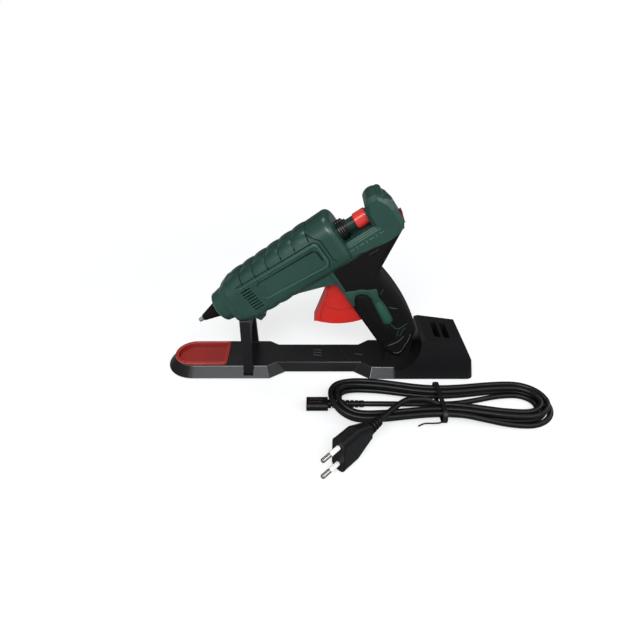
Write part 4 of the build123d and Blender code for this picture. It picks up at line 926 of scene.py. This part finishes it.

# Handle: green web round the finger pad, the pad itself and fine pale lines near the butt, painted highlight
# along the cap's rim
handleTrim = {
    "handleWeb": {
        "on": handleSide, "lift": 0.35, "soft": [0.8, 1.2], "finish": "shellGreen",
        "outlines": [
            [(142.4, -20.5), (146.8, -20.5), (146.4, -36), (146, -46), (142.2, -46.6)],
            [
                (142.2, -45.5), (147, -48), (152.2, -50.6), (159, -53.2), (164, -57.6), (171, -60.6),
                (170, -65.5), (168, -69.5), (168.8, -76), (169, -83.3), (167.4, -97), (166.1, -100.2),
                (161.6, -102.4), (157.2, -98.6), (158.6, -86), (160, -75.2), (161.6, -67.3),
                (160.2, -61), (156.5, -57.4), (152.4, -56), (149.4, -56.9), (146.6, -60.5),
                (145.3, -64.5), (142.2, -66),
            ],
        ],
    },
    "fingerPad": {
        "on": handleSide, "slot": "grip_black", "lift": 0.7, "soft": [1.6], "finish": "gripPad",
        "outlines": [[
            (143.4, -67.5), (146.2, -65.2), (147.4, -61.6), (149.8, -58.4), (152.4, -57.4), (156, -58.8),
            (159, -62), (160.2, -67.3), (158.8, -75.2), (157.3, -88), (156.2, -98.8),
            (160.6, -104.5), (158.8, -117.5), (155.5, -120), (143.6, -118),
        ]],
    },
    "handleWindow": {
        "on": handleSide, "lift": 0.75, "soft": [1], "finish": "accentGreen",
        "outlines": [[
            (162.4, -74), (166.4, -74.6), (167, -81.4), (166, -95.5), (164.6, -98.8),
            (161.2, -99.6), (159.4, -96.6), (161, -80),
        ]],
    },
    "handleAccents": {
        "on": handleSide, "radius": 0.5, "lift": -0.1, "finish": "shellGreen",
        "lines": [
            [(162.4, -103.4), (163.8, -109.7), (167.4, -112.1), (176.3, -110.8)],
            [(165.4, -112.8), (160.9, -118.8)],
            [(163.3, -119.8), (169, -115.3), (173, -114.6)],
            [(171.5, -67.8), (176, -64.5)],
            [(170.6, -84.5), (174.5, -89)],
            [(172, -87), (176.7, -90.7)],
        ],
    },
    "capLines": {
        "on": nodeSide("butt_cap", "right_grip", "left_grip"),
        "slot": "grip_black", "radius": 0.25, "lift": 0, "finish": "rimGrey",
        "lines": [
            [(147.4, -124), (152.8, -124.8), (158.4, -125.3), (166, -122.6)],
            [(147.6, -134.4), (150.6, -137.6), (154.4, -138), (161, -134), (168, -129.5), (173.4, -124)],
        ],
    },
}
makeTrim(handleTrim)
print("handle trimmed")

# Black ribbed collar on the barrel's rear face, round the feed carriage
feedCollar = {"from": 170.4, "to": 176.6, "inner": 8.6, "outer": 10, "rib": 0.7, "ribs": 3, "steps": 8}


def lathe(profile, sides=64):
    # A closed outline of (s, radius) turned round the bore's axis
    verts, faces = [], []
    for s, radius in profile:
        for corner in range(sides):
            turned = 2 * math.pi * corner / sides
            verts.append(gunPoint(s, radius * math.cos(turned), radius * math.sin(turned)))
    for index in range(len(profile)):
        faces += ringFaces(index * sides, (index + 1) % len(profile) * sides, sides)
    return verts, faces


def collarProfile(collar):
    profile = [(collar["from"], collar["inner"]), (collar["from"], collar["outer"])]
    pitch = (collar["to"] - collar["from"]) / collar["ribs"]
    for rib in range(collar["ribs"]):
        for step in range(1, collar["steps"]):
            share = step / collar["steps"]
            rise = collar["rib"] * math.sin(math.pi * share)
            profile.append((collar["from"] + pitch * (rib + share), collar["outer"] + rise))
    return profile + [(collar["to"], collar["outer"]), (collar["to"], collar["inner"])]


makePiece("feedCollar", *lathe(collarProfile(feedCollar)), "collarBlack", slot="part_black")

# Coil springs of the feed carriage and the nozzle valve, wound in place of the imported ones
springSettings = {
    "feedSpring": {
        "node": "carriage_spring", "joint": "carriage_feed", "travel": 4.9,
        "from": 125.1, "to": 139.5, "mean": 7.8, "wire": 1, "turns": 5,
    },
    "tipSpring": {
        "node": "valve_spring", "joint": "valve_open", "travel": 1.8,
        "from": 16.1, "to": 35.3, "mean": 2.4, "wire": 0.5, "turns": 8,
    },
}


def coilSpring(spring, perTurn=40):
    spots = []
    count = perTurn * spring["turns"]
    rise = spring["to"] - spring["from"] - 2 * spring["wire"]
    for index in range(count + 1):
        turned = 2 * math.pi * spring["turns"] * index / count
        s = spring["from"] + spring["wire"] + rise * index / count
        spots.append(gunPoint(s, spring["mean"] * math.sin(turned), spring["mean"] * math.cos(turned)))
    return tube(spots, spring["wire"] / 2 * mm, 10)


for name, spring in springSettings.items():
    piece = makePiece(name, *coilSpring(spring), "plainSteel", slot="steel")
    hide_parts(spring["node"])
    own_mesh(piece)
print("springs wound")

# Fine rings on the front collar: a light rim at its mouth and shoulder, a painted highlight, and a dark joint
# behind them
ringSettings = {
    "rimRing": {"s": 28.6, "radius": 13, "wire": 0.4, "finish": "ridgeGreen"},
    "shoulderRing": {"s": 30.2, "radius": 15.3, "wire": 0.4, "finish": "ridgeGreen"},
    "jointRing": {"s": 41.5, "radius": 16.9, "wire": 0.4, "finish": "accentDark"},
}
for name, ring in ringSettings.items():
    circle = []
    for turned in [index * math.pi / 4 for index in range(8)]:
        shift = Vector((math.cos(turned), math.sin(turned))) * ring["wire"]
        circle.append((ring["s"] + shift.x, ring["radius"] + shift.y))
    makePiece(name, *lathe(circle, 96), ring["finish"])

# Spine: flutes along its upper edge, a row of plain dashes and a lighter line along the lip of the grip below
# it, a painted highlight
spineTrim = {
    "spineFlutes": {
        "on": nodeSide("right_shell", "left_shell"), "radius": 0.32, "lift": -0.05, "finish": "accentPale",
        "lines": [[(172, -8), (203, -8)], [(172, -9.4), (204, -9.4)], [(172, -11), (204.5, -11)]],
    },
    "gripLips": {
        "on": nodeSide("right_grip", "left_grip", "right_shell"),
        "slot": "grip_black", "radius": 0.3, "lift": -0.05, "finish": "lipBlack",
        "lines": [[(157, -22.6), (199, -23)], [(182.9, -27), (193.7, -26.9)]],
    },
}
dashSettings = {"dash": (4.6, 0.6, 0.5), "bar": (0.6, 3, 0.5), "place": (173, -14.8), "pitch": 10, "count": 4}


def makeDashes(dashes):
    step = alongGun * dashes["pitch"] * mm
    count = dashes["count"]
    for name, side in (("near", -1), ("far", 1)):
        axes = (alongGun, upGun, Vector((0, side, 0)))
        spot = gunPoint(*dashes["place"], side * handleSettings["half"])
        makeRow(name + "Dashes", block(*dashes["dash"], axes), count, spot, step, "accentPale")
        makeRow(name + "Bars", block(*dashes["bar"], axes), count - 1, spot + step / 2, step, "accentPale")


makeTrim(spineTrim)
makeDashes(dashSettings)
print("spine trimmed")

# Trigger: a dark arc seam on each side, and a dark line of painted shade at the step behind its finger flange
triggerTrim = {
    "triggerSeam": {
        "on": nodeSide("trigger"), "slot": "feature_red",
        "radius": 0.4, "lift": -0.1, "soft": 3, "finish": "seamRed",
        "lines": [
            [(117.5, -55.5), (121, -60.5), (125.5, -64.8), (131, -67.8), (137, -69.8), (142, -70.6)],
            [(133.5, -31), (131.5, -39), (126, -45), (118, -51), (110, -57), (106.5, -62), (106, -66.5)],
        ],
    },
}
makeTrim(triggerTrim, "trigger")
print("trigger trimmed")

# Fine beads that catch the light along sharp outer edges, picked by angle, height in mm and steepness; those
# on the stand, tray and yoke wear a lighter finish than their part, a painted highlight
edgeSettings = {
    "stand_shell": {
        "least": 18, "above": 4, "below": 10.02, "steep": 8, "ahead": 78.1, "radius": 0.45, "proud": 0.1,
        "finish": "standEdge", "body": "stand", "slot": "stand_black",
    },
    "drip_tray": {
        "least": 30, "above": 9, "radius": 0.4, "proud": 0.1,
        "finish": "trayEdge", "body": "tray", "slot": "tray_red",
    },
    "plug": {
        "least": 25, "above": 0.5, "radius": 0.7, "proud": 0.05,
        "finish": "plugBlack", "body": "stand", "slot": "plug_black",
    },
    "connector": {
        "least": 40, "above": 0.5, "radius": 0.5, "proud": 0.05,
        "finish": "plugBlack", "body": "stand", "slot": "plug_black",
    },
    "support_yoke": {
        "least": 30, "above": 11, "radius": 0.4, "proud": 0.1,
        "finish": "yokeEdge", "body": "stand", "slot": "yoke_black",
    },
}


def wantsBead(edge, bead, faraway=300):
    if len(edge.link_faces) != 2 or not edge.is_convex:
        return False
    if math.degrees(edge.calc_face_angle(0)) < bead["least"]:
        return False
    low, high = sorted(vert.co.z / mm for vert in edge.verts)
    steep = high - low > bead.get("steep", faraway)
    if (low < bead["above"] and not steep) or high > bead.get("below", faraway):
        return False
    return max(vert.co.x for vert in edge.verts) <= bead.get("ahead", faraway) * mm


def edgeChains(name, bead):
    # Runs of edges, each as points drawn in from the edge so that the bead stands a little proud
    work = bmesh.new()
    work.from_mesh(nodes[name].data)
    work.transform(nodes[name].matrix_world)
    bmesh.ops.remove_doubles(work, verts=work.verts, dist=2e-6)
    bmesh.ops.recalc_face_normals(work, faces=work.faces)
    ways = {}
    for edge in work.edges:
        if wantsBead(edge, bead):
            inward = -(edge.link_faces[0].normal + edge.link_faces[1].normal).normalized()
            first, last = edge.verts
            ways.setdefault(first, {})[last] = inward
            ways.setdefault(last, {})[first] = inward
    draw = (bead["radius"] - bead["proud"]) * mm
    chains = []
    for start in [vert for vert in ways if len(ways[vert]) != 2] + list(ways):
        while ways[start]:
            chain, drawn = [start], []
            here = start
            while ways[here] and (here is start or len(ways[here]) == 1):
                there, inward = ways[here].popitem()
                del ways[there][here]
                chain.append(there)
                drawn.append(inward)
                here = there
                if here is start:
                    break
            spots = []
            for index, vert in enumerate(chain):
                mean = drawn[max(index - 1, 0)] + drawn[min(index, len(drawn) - 1)]
                spots.append(vert.co + mean.normalized() * draw)
            chains.append(spots)
    work.free()
    return chains


for name, bead in edgeSettings.items():
    runs = [tube(chain, bead["radius"] * mm, 6) for chain in edgeChains(name, bead)]
    makePiece(name + "Edges", *joined(runs), bead["finish"], bead["body"], bead["slot"])
    print(name, "edge runs", len(runs))

# Small raised marks on the stand's waist and dock, and the crease where the two meet
standMarks = {
    "top": 10,
    "size": (9, 1.1, 0.8),
    "heading": (0.97, -0.24),
    "pitch": -4.8,
    "rows": {"waistMarks": (3, (-0.5, 6)), "dockMarks": (1, (43.5, -1.8))},
    "crease": {"ends": [(20.5, 14.2), (35, -15)], "radius": 0.45, "sink": 0.25},
}
onStand = {"body": "stand", "slot": "stand_black"}


def makeStandMarks(marks):
    x, y = marks["heading"]
    shape = block(*marks["size"], (Vector((x, y, 0)), Vector((-y, x, 0)), Vector((0, 0, 1))))
    step = Vector((0, marks["pitch"], 0)) * mm
    for name, (count, place) in marks["rows"].items():
        makeRow(name, shape, count, Vector((*place, marks["top"])) * mm, step, "markGrey", **onStand)
    crease = marks["crease"]
    ends = [Vector((*end, marks["top"] - crease["sink"])) * mm for end in crease["ends"]]
    makePiece("dockCrease", *tube(ends, crease["radius"] * mm, 6), "markGrey", **onStand)


makeStandMarks(standMarks)

# Two ridges along the top of the connector
ridgeSettings = {"middle": (-2, -72, 8.9), "size": (13, 1, 0.9), "pitch": 3.6}


def makeConnectorRidges(ridges):
    shape = block(*ridges["size"], Matrix.Identity(3))
    step = Vector((0, ridges["pitch"], 0))
    start = (Vector(ridges["middle"]) - step / 2) * mm
    makeRow("connectorRidges", shape, 2, start, step * mm, "plugBlack", body="stand", slot="plug_black")


makeConnectorRidges(ridgeSettings)

# Loose end of the twist tie, bent away to the left
tieSettings = {
    "radius": 0.7,
    "tail": [
        (114, -93.4, 3.5), (110.5, -96.5, 4.6), (104, -97, 4.4), (97, -95.5, 2.6), (91, -97.5, 1.4),
    ],
}


def smoothRoute(points, count=6):
    # A curve through every point, with its slope taken from the neighbours
    spots = [Vector(point) for point in points]
    route = []
    for index in range(len(spots) - 1):
        before, first = spots[max(index - 1, 0)], spots[index]
        last, after = spots[index + 1], spots[min(index + 2, len(spots) - 1)]
        for step in range(count):
            share = step / count
            route.append(
                first
                + (last - before) * 0.5 * share
                + (before * 2 - first * 5 + last * 4 - after) * 0.5 * share**2
                + (first * 3 - before - last * 3 + after) * 0.5 * share**3
            )
    return [spot * mm for spot in route + [spots[-1]]]


tieTail = tube(smoothRoute(tieSettings["tail"]), tieSettings["radius"] * mm)
makePiece("tieTail", *tieTail, "partBlack", "stand", "part_black")
print("stand and tie trimmed")
